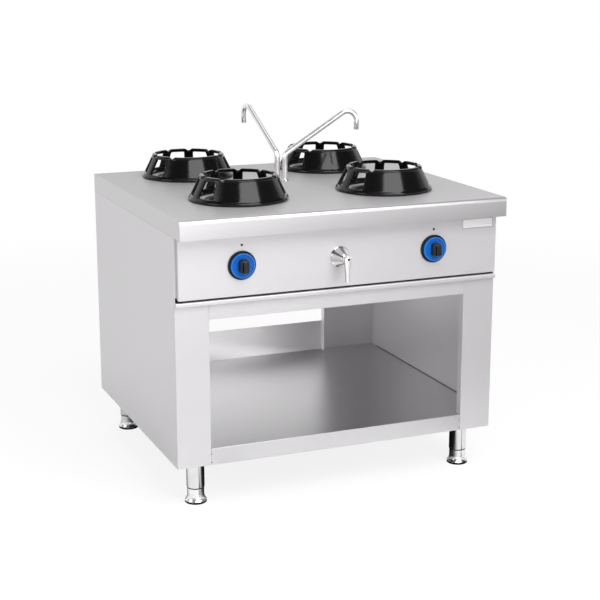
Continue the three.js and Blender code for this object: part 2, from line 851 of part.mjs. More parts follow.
// Gas pipework: one manifold from the rear inlet, and a feed pipe to each burner
function makeGasPipes() {
  const y = panelFront + valveSetBack + valveNose + valveLength / 2;
  const end = frontReach;
  const run = [
    [knobX.left - manifoldEnd, y, manifoldHeight],
    [inletX, y, manifoldHeight],
    [inletX, end, manifoldHeight],
  ];
  const manifold = pipe(run, manifoldRadius, manifoldBend, { sidesRound: coarse });
  const bore = pipe(
    [[inletX, end - inletBoreDepth, manifoldHeight], [inletX, end + past, manifoldHeight]],
    inletBore,
    0,
    { sidesRound: coarse },
  );
  piece("gas_manifold", cut(manifold, bore), "steel");

  const start = panelFront + valveSetBack + valveNose + valveLength + outletStub + gap;
  const endZ = stemBottom - gap;
  for (const [name, sign] of Object.entries(sides)) {
    const inner = knobX[name] - (sign * outletSpacing) / 2;
    const outer = knobX[name] + (sign * outletSpacing) / 2;
    const bx = sign * ringX;
    const toFront = [
      [inner, start, controlHeight],
      [inner, start + feedLead, controlHeight],
      [bx, frontRingY, controlHeight],
      [bx, frontRingY, endZ],
    ];
    const toRear = [
      [outer, start, controlHeight],
      [outer, rearRingY - feedSlantLength, controlHeight],
      [bx, rearRingY, controlHeight],
      [bx, rearRingY, endZ],
    ];
    piece(`feed_pipe_front_${name}`, pipe(toFront, feedRadius, feedBend), "copper");
    piece(`feed_pipe_rear_${name}`, pipe(toRear, feedRadius, feedBend), "copper");
  }
}

// Tap: a rosette and valve on the panel, a lever that turns on the valve's nose
function makeTap() {
  const cone = [];
  for (let i = 0; i <= rosetteSteps; i += 1) {
    const share = i / rosetteSteps;
    const r = rosetteTip + (rosetteRadius - rosetteTip) * (1 - share) ** 2;
    cone.push([r, THREE.MathUtils.lerp(rosetteRim, rosetteReach, share)]);
  }
  const rosette = [
    [tapNoseRadius + runningFit, gap],
    [rosetteRadius, gap],
    ...cone,
    [tapNoseRadius + runningFit, rosetteReach],
    [tapNoseRadius + runningFit, gap],
  ];
  piece("tap_rosette", turnedOnPanel(rosette, fine, tapX), "chrome");

  const bodyFront = -valveSetBack;
  const bodyBack = bodyFront - tapBodyLength;
  const pinEnd = tapNoseReach - tapPinDepth;
  const shell = turnedOnPanel([
    [0, bodyBack],
    [tapBodyRadius, bodyBack],
    [tapBodyRadius, bodyFront],
    [tapNoseRadius, bodyFront],
    [tapNoseRadius, tapNoseReach],
    [tapPinRadius + runningFit, tapNoseReach],
    [tapPinRadius + runningFit, pinEnd - runningFit],
    [0, pinEnd - runningFit],
  ], coarse, tapX);
  const stubs = [-1, 1].map((which) => {
    const stubX = tapX + (which * tapOutletSpacing) / 2;
    return discOnPanel(waterRadius + stubWall, stubX, bodyBack - outletStub, bodyBack + past);
  });
  piece("tap_valve", join(shell, ...stubs), "brass");

  const arm = new THREE.Shape();
  const lean = Math.asin((leverHubRadius - leverTipRadius) / leverLength);
  arm.absarc(tapX, controlHeight, leverHubRadius, -lean, Math.PI + lean);
  arm.absarc(tapX, controlHeight - leverLength, leverTipRadius, Math.PI + lean, 2 * Math.PI - lean);
  arm.closePath();
  const armFront = panelFront - leverStart - leverThickness;
  const hub = turnedOnPanel([
    [0, pinEnd],
    [tapPinRadius, pinEnd],
    [tapPinRadius, rosetteReach + leverClearance],
    [leverHubRadius, rosetteReach + leverClearance],
    [leverHubRadius, leverHubFront - leverBevel],
    [leverHubRadius - leverBevel, leverHubFront],
    [0, leverHubFront],
  ], fine, tapX);
  piece("tap_lever", join(drawnAlongY(arm, armFront, armFront + leverThickness), hub), "chrome");

  const start = panelFront + valveSetBack + tapBodyLength + outletStub + gap;
  const half = tapOutletSpacing / 2;
  const supply = [
    [tapX + half, start, controlHeight],
    [tapX + half, start + waterLead, controlHeight],
    [waterInletX, start + waterLead + waterSlant, controlHeight],
    [waterInletX, rear + waterInletReach, controlHeight],
  ];
  piece("water_supply_pipe", pipe(supply, waterRadius, feedBend), "copper");
  const blockBottom = deckUnderside - gap - spoutBlock.height;
  const toSpouts = [
    [tapX - half, start, controlHeight],
    [tapX - half, spoutMiddle.y - waterSlant, controlHeight],
    [spoutMiddle.x, spoutMiddle.y, controlHeight],
    [spoutMiddle.x, spoutMiddle.y, blockBottom - gap],
  ];
  piece("water_feed_pipe", pipe(toSpouts, waterRadius, feedBend), "copper");
}

// Twin spout base under the deck, and the two spouts that swivel in its collars
function makeSpouts() {
  const top = deckUnderside - gap;
  const collarTop = workHeight + collarReach;
  const socketFloor = collarTop - socketDepth;
  const block = box(
    spoutMiddle.x - spoutBlock.width / 2, spoutMiddle.x + spoutBlock.width / 2,
    spoutMiddle.y - spoutBlock.depth / 2, spoutMiddle.y + spoutBlock.depth / 2,
    top - spoutBlock.height, top,
  );
  const collars = spoutPlaces.map(([x, y]) =>
    turned([
      [0, top - collarSink],
      [collarRadius, top - collarSink],
      [collarRadius, collarTop - collarEdge],
      [collarRadius - collarEdge, collarTop],
      [0, collarTop],
    ], coarse, x, y));
  const sockets = spoutPlaces.map(([x, y]) =>
    disc(spoutRadius + runningFit, x, y, socketFloor, collarTop + past));
  piece("spout_base", cut(join(block, ...collars), ...sockets), "chrome");
  makeSpout("spout_front", spoutPlaces[0], frontSpoutAngle, socketFloor + gap);
  makeSpout("spout_rear", spoutPlaces[1], rearSpoutAngle, socketFloor + gap);
}

// Spout: up, out at a slant, and round to a short run straight down
function makeSpout(name, [x, y], angle, bottom) {
  const corners = [
    [0, 0, bottom],
    [0, 0, spoutBendHeight],
    [spoutReach, 0, spoutCornerHeight],
    [spoutReach, 0, spoutOutletHeight],
  ];
  const options = { bore: spoutBore, sidesRound: spoutSides, perBend: 5 };
  const tube = pipe(corners, spoutRadius, [spoutBend, hookBend], options);
  piece(name, tube.rotate([0, 0, angle]).translate([x, y, 0]), "chrome");
}

makeWorktop();
for (const [name, sign] of Object.entries(sides)) makeSide(`side_panel_${name}`, sign);
makeShelf();
makeTopRail("front_top_rail", cabinetFront, 1, betweenPosts);
makeTopRail("rear_top_rail", rear, -1, betweenRearPosts);
makeTrimRail();
makeFloor();
makeControlPanel();
makeRearPanel();
for (const [place, at] of Object.entries(legPlaces)) makeLeg(place, at);
for (const [place, at] of Object.entries(ringPlaces)) {
  makeBurner(place, at);
  makeRing(place, at);
}
makeBurnerBar("burner_bar_front", frontRingY);
makeBurnerBar("burner_bar_rear", rearRingY);
for (const name of Object.keys(sides)) makeGasControl(name);
makeGasPipes();
makeTap();
makeSpouts();

export default range;
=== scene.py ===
# Gas wok range: steel cabinet, four cast wok rings, gas knobs, water tap and twin spouts.
# Everything is in metres, with the feet on z = 0 and the front towards -Y.
import json
import math

import bmesh
import bpy
from mathutils import Matrix, Vector


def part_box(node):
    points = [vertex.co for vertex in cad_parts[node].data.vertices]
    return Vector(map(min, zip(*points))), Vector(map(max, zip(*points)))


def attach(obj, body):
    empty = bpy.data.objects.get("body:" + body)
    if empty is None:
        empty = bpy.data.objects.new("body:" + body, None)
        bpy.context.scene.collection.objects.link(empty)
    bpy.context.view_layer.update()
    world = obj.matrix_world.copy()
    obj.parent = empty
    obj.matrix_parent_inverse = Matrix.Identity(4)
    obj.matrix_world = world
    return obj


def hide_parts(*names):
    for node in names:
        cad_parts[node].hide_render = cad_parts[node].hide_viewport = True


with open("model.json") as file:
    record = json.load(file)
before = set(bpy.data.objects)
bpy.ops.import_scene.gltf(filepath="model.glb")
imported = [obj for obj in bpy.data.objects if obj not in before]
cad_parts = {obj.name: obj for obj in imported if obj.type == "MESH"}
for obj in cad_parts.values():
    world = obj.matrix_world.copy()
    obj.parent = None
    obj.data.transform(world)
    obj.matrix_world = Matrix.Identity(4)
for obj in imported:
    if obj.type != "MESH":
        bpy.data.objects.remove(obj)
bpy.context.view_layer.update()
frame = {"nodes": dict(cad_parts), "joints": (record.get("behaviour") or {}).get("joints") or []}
nodes = frame["nodes"]
mm = 0.001
places = ("front_left", "front_right", "rear_left", "rear_right")
sides = ("left", "right")


def middle(node):
    low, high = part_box(node)
    return (low + high) / 2


# A round node's radius and height, and the matrix that stands a turned piece on its foot
def standing(node):
    low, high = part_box(node)
    centre = middle(node)
    return (high.x - low.x) / 2, high.z - low.z, Matrix.Translation((centre.x, centre.y, low.z))


class Field:  # a varying number or colour; Python's operators add its Math nodes
    def __init__(self, tree, socket):
        self.tree = tree
        self.socket = socket

    def maths(self, operation, other=None, swapped=False):
        step = self.tree.nodes.new("ShaderNodeMath")
        step.operation = operation
        pair = (other, self) if swapped else (self, other)
        for slot, item in zip(step.inputs, pair):
            if isinstance(item, Field):
                self.tree.links.new(item.socket, slot)
            elif item is not None:
                slot.default_value = item
        return Field(self.tree, step.outputs[0])

    def __add__(self, other):
        return self.maths("ADD", other)

    def __sub__(self, other):
        return self.maths("SUBTRACT", other)

    def __rsub__(self, other):
        return self.maths("SUBTRACT", other, True)

    def __mul__(self, other):
        return self.maths("MULTIPLY", other)

    __radd__ = __add__
    __rmul__ = __mul__


class Nodes:  # a node tree; each node added to it comes back as a Field of one of its outputs
    def __init__(self, tree):
        self.tree = tree

    def node(self, kind, settings=None, inputs=None, output=0, family="ShaderNode"):
        made = self.tree.nodes.new(family + kind)
        for key, value in (settings or {}).items():
            if key == "stops":
                ramp = made.color_ramp
                for index, (position, level) in enumerate(value):
                    stop = ramp.elements[index] if index < 2 else ramp.elements.new(position)
                    stop.position = position
                    stop.color = (level, level, level, 1)
            else:
                setattr(made, key, value)
        for key, value in (inputs or {}).items():
            if isinstance(value, Field):
                self.tree.links.new(value.socket, made.inputs[key])
            else:
                made.inputs[key].default_value = value
        return Field(self.tree, made.outputs[output])

    def axis(self, vector, letter):
        return self.node("SeparateXYZ", None, {"Vector": vector}, letter)

    def softStep(self, value, start, end):  # from 0 to 1 between two values
        sockets = {"Value": value, "From Min": start, "From Max": end}
        return self.node("MapRange", {"interpolation_type": "SMOOTHSTEP"}, sockets)


class Finish(Nodes):  # one material: its tree, its Principled shader and the coordinates that patterns read
    def __init__(self, name, colour, rough, metal=0.0, **fixed):
        self.material = bpy.data.materials.new(name)
        self.material.use_nodes = True
        super().__init__(self.material.node_tree)
        self.shader = self.tree.nodes["Principled BSDF"]
        self.shader.inputs["Base Color"].default_value = (*colour, 1)
        self.shader.inputs["Roughness"].default_value = rough
        self.shader.inputs["Metallic"].default_value = metal
        for key, value in fixed.items():
            self.shader.inputs[key.replace("_", " ")].default_value = value
        self.place = self.node("TexCoord", output="Object")

    def noise(self, scale, detail=3.0, rough=0.55, along=None):
        vector = self.node("Mapping", None, {"Vector": self.place, "Scale": along}) if along else self.place
        sockets = {"Vector": vector, "Scale": scale, "Detail": detail, "Roughness": rough}
        return self.node("TexNoise", None, sockets)

    def contrast(self, field, low, high, start=0.0, end=1.0):
        sockets = {"Value": field, "From Min": low, "From Max": high, "To Min": start, "To Max": end}
        return self.node("MapRange", {"clamp": True}, sockets)

    def blend(self, factor, first, second):
        colours = {0: factor, 6: (*first, 1) if isinstance(first, tuple) else first}
        colours[7] = (*second, 1) if isinstance(second, tuple) else second
        return self.node("Mix", {"data_type": "RGBA"}, colours, 2)

    def set(self, key, field):
        self.tree.links.new(field.socket, self.shader.inputs[key])
        return self

    def bump(self, field, strength, distance):
        sockets = {"Height": field, "Strength": strength, "Distance": distance}
        return self.set("Normal", self.node("Bump", None, sockets, "Normal"))


def shade(colour, factor):
    return tuple(min(1.0, channel * factor) for channel in colour)


# Rolled sheet: fine grain drawn out along one axis, faint clouding and a few longer hairlines
def steelFinish(name, colour, along, rough=0.3, spread=0.1, metal=1.0, top=None):
    finish = Finish(name, colour, rough, metal)
    across = tuple(6 if i == along else 900 for i in range(3))
    longer = tuple(1.5 if i == along else 260 for i in range(3))
    grain = finish.noise(1.0, 2.0, 0.6, across)
    hairs = finish.contrast(finish.noise(1.0, 1.0, 0.4, longer), 0.62, 0.75)
    cloud = finish.noise(2.6, 3.0, 0.5)
    tone = finish.contrast(grain * 0.6 + cloud * 0.4, 0.3, 0.7)
    tint = finish.blend(tone, shade(colour, 0.97), shade(colour, 1.02))
    marks = grain * 0.7 + cloud * 0.3 + hairs * 0.1
    roughness = finish.contrast(marks, 0.3, 0.75, rough - spread / 2, rough + spread / 2)
    if top:  # the face that looks straight up gets its own colour, roughness and metal; its darker colour is painted shade
        topShadedColour, topRough, topMetal = top
        up = finish.contrast(finish.axis(finish.node("TexCoord", output="Normal"), "Z"), 0.9, 0.99)
        tint = finish.blend(up, tint, finish.blend(tone, shade(topShadedColour, 0.97), shade(topShadedColour, 1.02)))
        roughness = roughness + up * (topRough - rough)
        finish.set("Metallic", up * (topMetal - metal) + metal)
    finish.set("Base Color", tint)
    finish.set("Roughness", roughness)
    return finish.bump(grain + hairs * 0.4, 0.03, 0.0001).material


# Drawn tube: rings of polish round the axis and small handling marks
def tubeFinish(name, colour, rough):
    finish = Finish(name, colour, rough, 1.0)
    rings = finish.noise(1.0, 2.0, 0.5, (40, 40, 900))
    smear = finish.contrast(finish.noise(26.0, 4.0, 0.6), 0.35, 0.7)
    finish.set("Base Color", finish.blend(smear, shade(colour, 0.93), shade(colour, 1.03)))
    finish.set("Roughness", finish.contrast(rings * 0.5 + smear * 0.5, 0.2, 0.8, rough * 0.7, rough * 1.5))
    return finish.bump(rings, 0.03, 0.0001).material


# Chrome: nearly clear, with faint water marks
def chromeFinish(name, colour, rough, metal):
    finish = Finish(name, colour, rough, metal)
    spots = finish.contrast(finish.noise(90.0, 3.0, 0.6), 0.55, 0.75)
    waves = finish.noise(14.0, 2.0, 0.5)
    finish.set("Base Color", finish.blend(waves, shade(colour, 0.95), shade(colour, 1.02)))
    finish.set("Roughness", finish.contrast(spots * 0.6 + waves * 0.4, 0.1, 0.9, rough, rough * 3))
    return finish.bump(waves, 0.03, 0.0005).material


# Turned chrome cone with a painted reflection: the room's mirror image is painted into its colour as bands
# running from the tip, at these angles and tones
def paintedReflectionFinish(name, colour, rough, centre, streaks):
    finish = Finish(name, colour, rough, 0.8)
    place = finish.node("Mapping", None, {"Vector": finish.place, "Location": tuple(-c for c in centre)})
    angle = finish.axis(place, "Z").maths("ARCTAN2", finish.axis(place, "X"))
    turn = finish.contrast(angle, -math.pi, math.pi)
    stops = [((degrees + 180) / 360, tone) for degrees, tone in streaks]
    tone = finish.node("ValToRGB", {"stops": stops}, {"Fac": turn})
    # painted reflection: the ramp darkens the base colour in bands round the tip
    finish.set("Base Color", finish.blend(tone, shade(colour, 0.08), colour))
    spots = finish.contrast(finish.noise(90.0, 3.0, 0.6), 0.55, 0.75)
    finish.set("Roughness", finish.contrast(spots, 0.0, 1.0, rough, rough * 2.5))
    return finish.bump(spots, 0.02, 0.0003).material


# Polished lever: bright along its face, with a painted reflection of a darker room where its sides turn away
def leverFinish(name, colour, rough, metal, paintedSideShade):
    finish = Finish(name, colour, rough, metal)
    outward = finish.axis(finish.node("TexCoord", output="Normal"), "X")
    # painted reflection: faces that turn to the left or right are painted grey
    edge = finish.contrast(outward * outward, 0.3, 0.8)
    waves = finish.noise(14.0, 2.0, 0.5)
    finish.set("Base Color", finish.blend(edge, colour, shade(colour, paintedSideShade)))
    finish.set("Roughness", finish.contrast(waves, 0.2, 0.8, rough, rough * 2))
    return finish.bump(waves, 0.03, 0.0005).material


# Glossy enamel on cast iron: the skin follows the casting's soft unevenness
def enamelFinish(name, colour, rough, level):
    finish = Finish(name, colour, rough, 0.0, Specular_IOR_Level=level)
    peel = finish.noise(160.0, 2.0, 0.5)
    casting = finish.noise(24.0, 3.0, 0.55)
    dust = finish.contrast(finish.noise(55.0, 5.0, 0.65), 0.6, 0.8)
    finish.set("Base Color", finish.blend(dust, colour, shade(colour, 1.7)))
    finish.set("Roughness", finish.contrast(casting * 0.5 + dust * 0.5, 0.2, 0.8, rough * 0.8, rough * 1.5))
    return finish.bump(peel * 0.25 + casting, 0.12, 0.0012).material


# Bare casting with a sandy skin and a heat-browned tint in patches
def ironFinish(name, colour, tint, rough):
    finish = Finish(name, colour, rough, 0.6)
    sand = finish.noise(420.0, 4.0, 0.7)
    patches = finish.contrast(finish.noise(30.0, 4.0, 0.6), 0.45, 0.7)
    finish.set("Base Color", finish.blend(patches, colour, tint))
    finish.set("Roughness", finish.contrast(sand, 0.3, 0.7, rough - 0.1, rough + 0.12))
    return finish.bump(sand, 0.35, 0.0006).material


# Moulded plastic: fine spark texture and a slightly uneven sheen
def plasticFinish(name, colour, rough, level=0.5):
    finish = Finish(name, colour, rough, 0.0, Specular_IOR_Level=level)
    spark = finish.noise(900.0, 2.0, 0.6)
    sheen = finish.noise(34.0, 2.0, 0.5)
    finish.set("Base Color", finish.blend(sheen, shade(colour, 0.9), shade(colour, 1.1)))
    finish.set("Roughness", finish.contrast(spark * 0.5 + sheen * 0.5, 0.3, 0.7, rough - 0.05, rough + 0.07))
    return finish.bump(spark, 0.08, 0.0002).material


# Turned brass or drawn copper with dull brown patches
def turnedFinish(name, colour, tarnish, rough):
    finish = Finish(name, colour, rough, 1.0)
    lines = finish.noise(1.0, 2.0, 0.5, (60, 700, 700))
    patches = finish.contrast(finish.noise(45.0, 4.0, 0.6), 0.5, 0.72)
    finish.set("Base Color", finish.blend(patches, colour, tarnish))
    finish.set("Roughness", finish.contrast(lines * 0.5 + patches * 0.5, 0.2, 0.8, rough * 0.8, rough * 1.6))
    return finish.bump(lines, 0.06, 0.0001).material


# Angle in degrees, anticlockwise from the right, and tone of each painted reflection streak round the tap's
# rosette
rosettePaintedReflections = (
    (-180, 0.75), (-158, 0.55), (-148, 1), (-125, 1), (-118, 0.05), (-106, 0.1), (-100, 0.9), (-30, 0.75),
    (20, 0.9), (70, 0.95), (78, 0.25), (98, 0.2), (104, 1), (132, 1), (140, 0.12), (152, 0.12), (158, 0.85),
    (180, 0.75),
)
skinTone = (0.61, 0.597, 0.61)
deckTone = (0.56, 0.549, 0.56)
# the deck's top face: a darker colour that is painted shade, with its own roughness and metal
deckTop = ((0.435, 0.426, 0.435), 0.46, 0.4)
finishes = {
    "steelAcross": steelFinish("steelGrainAcross", skinTone, 0, 0.46, metal=0.65),
    "steelDeep": steelFinish("steelGrainDeep", skinTone, 1, 0.44, metal=0.65),
    "deck": steelFinish("steelDeck", deckTone, 0, 0.36, metal=0.86, top=deckTop),
    "shelf": steelFinish("steelShelf", (0.68, 0.668, 0.68), 0, 0.34),
    "plate": steelFinish("steelPlate", (0.88, 0.87, 0.88), 0, 0.3, metal=0.35),
    "inner": steelFinish("steelInner", (0.42, 0.42, 0.43), 0, 0.38),
    "tube": tubeFinish("legTube", (0.72, 0.71, 0.72), 0.06),
    "foot": tubeFinish("footSteel", (0.84, 0.83, 0.84), 0.27),
    "enamel": enamelFinish("blackEnamel", (0.0042, 0.004, 0.0045), 0.16, 0.28),
    "bowl": enamelFinish("bowlEnamel", (0.014, 0.014, 0.015), 0.3, 0.3),
    "iron": ironFinish("burnerIron", (0.03, 0.029, 0.029), (0.06, 0.048, 0.04), 0.55),
    "brass": turnedFinish("valveBrass", (0.55, 0.4, 0.17), (0.3, 0.2, 0.1), 0.28),
    "copper": turnedFinish("pipeCopper", (0.55, 0.25, 0.15), (0.25, 0.12, 0.08), 0.32),
    "bezel": plasticFinish("bezelPlastic", (0.008, 0.008, 0.009), 0.35, 0.3),
    "blue": plasticFinish("dialBlue", (0.003, 0.085, 0.36), 0.3, 0.15),
    "ring": plasticFinish("dialLine", (0.06, 0.26, 0.6), 0.3),
    "grip": plasticFinish("gripPlastic", (0.013, 0.015, 0.018), 0.34, 0.4),
    "print": plasticFinish("printInk", (0.02, 0.02, 0.025), 0.5, 0.3),
    "chrome": chromeFinish("tapChrome", (0.86, 0.855, 0.86), 0.05, 1.0),
    "lever": leverFinish("leverChrome", (0.92, 0.915, 0.92), 0.1, 0.62, 0.45),
    "rosette": paintedReflectionFinish("rosetteChrome", (0.95, 0.94, 0.95), 0.08, middle("tap_rosette"), rosettePaintedReflections),
    "rubber": plasticFinish("padRubber", (0.006, 0.006, 0.006), 0.8, 0.1),
    "spout": chromeFinish("spoutChrome", (0.84, 0.83, 0.84), 0.13, 0.7),
}
print("finishes:", len(finishes))


def dress(piece, material, smoothAngle=40):
    piece.data.materials.clear()
    piece.data.materials.append(finishes[material])
    piece.data.polygons.foreach_set("use_smooth", [True] * len(piece.data.polygons))
    piece.data.set_sharp_from_angle(angle=math.radians(smoothAngle))
    return piece


def meshObject(name, build, material, smoothAngle=40):
    mesh = bpy.data.meshes.new(name)
    build.to_mesh(mesh)
    build.free()
    piece = bpy.data.objects.new(name, mesh)
    bpy.context.scene.collection.objects.link(piece)
    return dress(piece, material, smoothAngle)


# Modifiers made part of the mesh
def settled(piece):
    bpy.context.view_layer.update()
    evaluated = piece.evaluated_get(bpy.context.evaluated_depsgraph_get())
    mesh = bpy.data.meshes.new_from_object(evaluated)
    piece.modifiers.clear()
    piece.data = mesh
    return piece


def bevelled(piece, width, segments=2, angle=35):
    bevel = piece.modifiers.new("edges", "BEVEL")
    bevel.width = width
    bevel.segments = segments
    bevel.limit_method = "ANGLE"
    bevel.angle_limit = math.radians(angle)
    bevel.harden_normals = True
    return settled(piece)


def subdivided(piece, levels):
    smooth = piece.modifiers.new("smooth", "SUBSURF")
    smooth.levels = levels
    smooth.render_levels = levels
    return settled(piece)


def placed(piece, body, slot, *replaced):
    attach(piece, body)
    if replaced:
        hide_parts(*replaced)
    return piece


# A node's own solid with its edges broken, which replaces it
def softened(node, material, slot, edge, body="cabinet", smoothAngle=35):
    build = bmesh.new()
    build.from_mesh(nodes[node].data)
    bmesh.ops.remove_doubles(build, verts=build.verts, dist=1e-6)
    bmesh.ops.dissolve_limit(build, angle_limit=math.radians(0.5), verts=build.verts, edges=build.edges)
    piece = meshObject("look_" + node, build, material, smoothAngle)
    if edge:
        bevelled(piece, edge)
    return placed(piece, body, slot, node)


# Each corner [x, y, radius] of a flat outline turned into an arc; closed outlines wrap round
def rounded(corners, closed=True, steps=5):
    points = []
    count = len(corners)
    for i, corner in enumerate(corners):
        here = Vector(corner[:2])
        radius = corner[2] if len(corner) > 2 else 0
        if radius == 0 or (not closed and i in (0, count - 1)):
            points.append(here)
            continue
        before = (Vector(corners[i - 1][:2]) - here).normalized()
        after = (Vector(corners[(i + 1) % count][:2]) - here).normalized()
        half = before.angle(after) / 2
        centre = here + (before + after).normalized() * (radius / math.sin(half))
        start = here + before * (radius / math.tan(half)) - centre
        turn = start.angle_signed(here + after * (radius / math.tan(half)) - centre)
        for k in range(steps + 1):
            points.append(centre + Matrix.Rotation(-turn * k / steps, 2) @ start)
    return points


# Faces from each loop of points to the next, where a loop of one point is a pole, and normals outwards
def skinned(build, loops, capped=False):
    for lower, upper in zip(loops, loops[1:]):
        count = max(len(lower), len(upper))
        for k in range(count if count > 1 else 0):
            pair = [lower[i % len(lower)] for i in (k, k + 1)] + [upper[i % len(upper)] for i in (k + 1, k)]
            build.faces.new(list(dict.fromkeys(pair)))
    if capped:
        build.faces.new(loops[0])
        build.faces.new(loops[-1])
    bmesh.ops.recalc_face_normals(build, faces=build.faces)


# A profile of (radius, height) points turned about +Z, then laid where matrix says
def turned(name, profile, material, matrix=Matrix(), sidesRound=64, smoothAngle=40):
    build = bmesh.new()
    rows = []
    for radius, height in profile:
        if radius < 1e-6:
            rows.append([build.verts.new((0, 0, height))])
            continue
        angles = [2 * math.pi * k / sidesRound for k in range(sidesRound)]
        rows.append([build.verts.new((radius * math.cos(a), radius * math.sin(a), height)) for a in angles])
    skinned(build, rows + rows[:1] if len(rows[0]) > 1 else rows)
    build.transform(matrix)
    return meshObject(name, build, material, smoothAngle)


# Outline points raised from one height to another, with the edges eased
def raised(name, outline, low, high, material, ease=0, matrix=Matrix()):
    build = bmesh.new()
    face = build.faces.new([build.verts.new((x, y, low)) for x, y in outline])
    extruded = bmesh.ops.extrude_face_region(build, geom=[face])
    lifted = [item for item in extruded["geom"] if isinstance(item, bmesh.types.BMVert)]
    bmesh.ops.translate(build, verts=lifted, vec=(0, 0, high - low))
    bmesh.ops.recalc_face_normals(build, faces=build.faces)
    build.transform(matrix)
    piece = meshObject(name, build, material)
    return bevelled(piece, ease, 3, 50) if ease else piece


# Stations (place, heading) along corner points, with each corner rounded
def bentPath(corners, radii=(), perBend=16):
    spots = [Vector(corner) for corner in corners]
    stations = [(spots[0], (spots[1] - spots[0]).normalized())]
    for here, last, following, radius in zip(spots[1:], spots, spots[2:], radii):
        before = (here - last).normalized()
        after = (following - here).normalized()
        turn = before.angle(after)
        inward = (after - before * math.cos(turn)).normalized()
        start = here - before * (radius * math.tan(turn / 2))
        centre = start + inward * radius
        for k in range(perBend + 1):
            angle = turn * k / perBend
            place = centre - inward * (radius * math.cos(angle)) + before * (radius * math.sin(angle))
            stations.append((place, before * math.cos(angle) + inward * math.sin(angle)))
    stations.append((spots[-1], (spots[-1] - spots[-2]).normalized()))
    return stations


# A round tube along stations; with a bore it is open at both ends and shows its wall
def tubed(name, stations, radius, material, bore=0, matrix=Matrix(), sidesRound=32):
    build = bmesh.new()
    side = stations[0][1].orthogonal().normalized()
    crossings = []
    for place, heading in stations:
        side = (side - heading * side.dot(heading)).normalized()
        crossings.append((place, heading, side, heading.cross(side)))

    def loopOf(index, size, slide=0.0):
        place, heading, first, second = crossings[index]
        centre = place + heading * slide
        loop = []
        for k in range(sidesRound):
            angle = 2 * math.pi * k / sidesRound
            outward = first * (size * math.cos(angle)) + second * (size * math.sin(angle))
            loop.append(build.verts.new(centre + outward))
        return loop

    last = len(stations) - 1
    edge = min(0.4 * mm, radius / 6)
    rows = [loopOf(0, radius - edge), loopOf(0, radius, edge)]
    rows += [loopOf(i, radius) for i in range(1, last)]
    rows += [loopOf(last, radius, -edge), loopOf(last, radius - edge)]
    if bore:
        rows += [loopOf(last, bore)] + [loopOf(i, bore) for i in range(last - 1, 0, -1)] + [loopOf(0, bore)]
        rows.append(rows[0])
    skinned(build, rows, capped=not bore)
    build.transform(matrix)
    return meshObject(name, build, material, 50)


class Growth(Nodes):  # a Geometry Nodes tree; sockets maps each input's name to its type and default
    def __init__(self, name, sockets):
        super().__init__(bpy.data.node_groups.new(name, "GeometryNodeTree"))
        sockets = {**sockets, "Material": ("Material", None)}
        for key, (kind, value) in sockets.items():
            socket = self.tree.interface.new_socket(key, in_out="INPUT", socket_type="NodeSocket" + kind)
            if value is not None:
                socket.default_value = value
        self.tree.interface.new_socket("Geometry", in_out="OUTPUT", socket_type="NodeSocketGeometry")
        outputs = self.tree.nodes.new("NodeGroupInput").outputs
        self.given = {key: Field(self.tree, outputs[key]) for key in sockets}

    def grow(self, kind, inputs=None, settings=None):
        return self.node(kind, settings, inputs, family="GeometryNode")

    def finished(self, points, instance, rotation):  # a copy at each point, real and painted
        copies = self.grow("InstanceOnPoints", {"Points": points, "Instance": instance, "Rotation": rotation})
        whole = self.grow("RealizeInstances", {"Geometry": copies})
        painted = self.grow("SetMaterial", {"Geometry": whole, "Material": self.given["Material"]})
        end = self.tree.nodes.new("NodeGroupOutput")
        self.tree.links.new(painted.socket, end.inputs["Geometry"])
        return self.tree


# Blocks round a circle, standing out along its radius, about the local Z axis
def blocksTree():
    growth = Growth("blocksRound", {
        "Count": ("Int", 12), "Radius": ("Float", 0.05), "First Angle": ("Float", 0.0),
        "Step Angle": ("Float", 0.5), "Block": ("Vector", (0.01, 0.01, 0.01)), "Height": ("Float", 0.0),
    })
    given = growth.given
    angle = growth.grow("InputIndex") * given["Step Angle"] + given["First Angle"]
    x = angle.maths("COSINE") * given["Radius"]
    y = angle.maths("SINE") * given["Radius"]
    spot = growth.node("CombineXYZ", None, {"X": x, "Y": y, "Z": given["Height"]})
    turn = growth.node("CombineXYZ", None, {"Z": angle})
    points = growth.grow("Points", {"Count": given["Count"], "Position": spot})
    block = growth.grow("MeshCube", {"Size": given["Block"]})
    return growth.finished(points, block, turn)


screwHead = {
    "sides": 20,
    "top": 0.8,  # radii of the head's top and its socket, as shares of its own radius
    "socket": 0.45,
    "socketAt": 1.12,  # middle of the socket's cut, as a share of the head's height
}


# Screw heads at the object's own points: a chamfered head with a hexagon socket sunk in it
def screwsTree():
    growth = Growth("screwHeads", {
        "Geometry": ("Geometry", None), "Head Radius": ("Float", 0.004), "Head Height": ("Float", 0.002),
        "Rotation": ("Vector", (0.0, 0.0, 0.0)),
    })
    given = growth.given
    radius, height = given["Head Radius"], given["Head Height"]
    head = growth.grow("MeshCone", {
        "Vertices": screwHead["sides"], "Radius Top": radius * screwHead["top"], "Radius Bottom": radius,
        "Depth": height})
    hexagon = growth.grow("MeshCylinder", {
        "Vertices": 6, "Radius": radius * screwHead["socket"], "Depth": height})
    lift = growth.node("CombineXYZ", None, {"Z": height * screwHead["socketAt"]})
    cutter = growth.grow("Transform", {"Geometry": hexagon, "Translation": lift})
    sunk = growth.grow("MeshBoolean", {"Mesh 1": head, "Mesh 2": cutter}, {"operation": "DIFFERENCE"})
    return growth.finished(given["Geometry"], sunk, given["Rotation"])


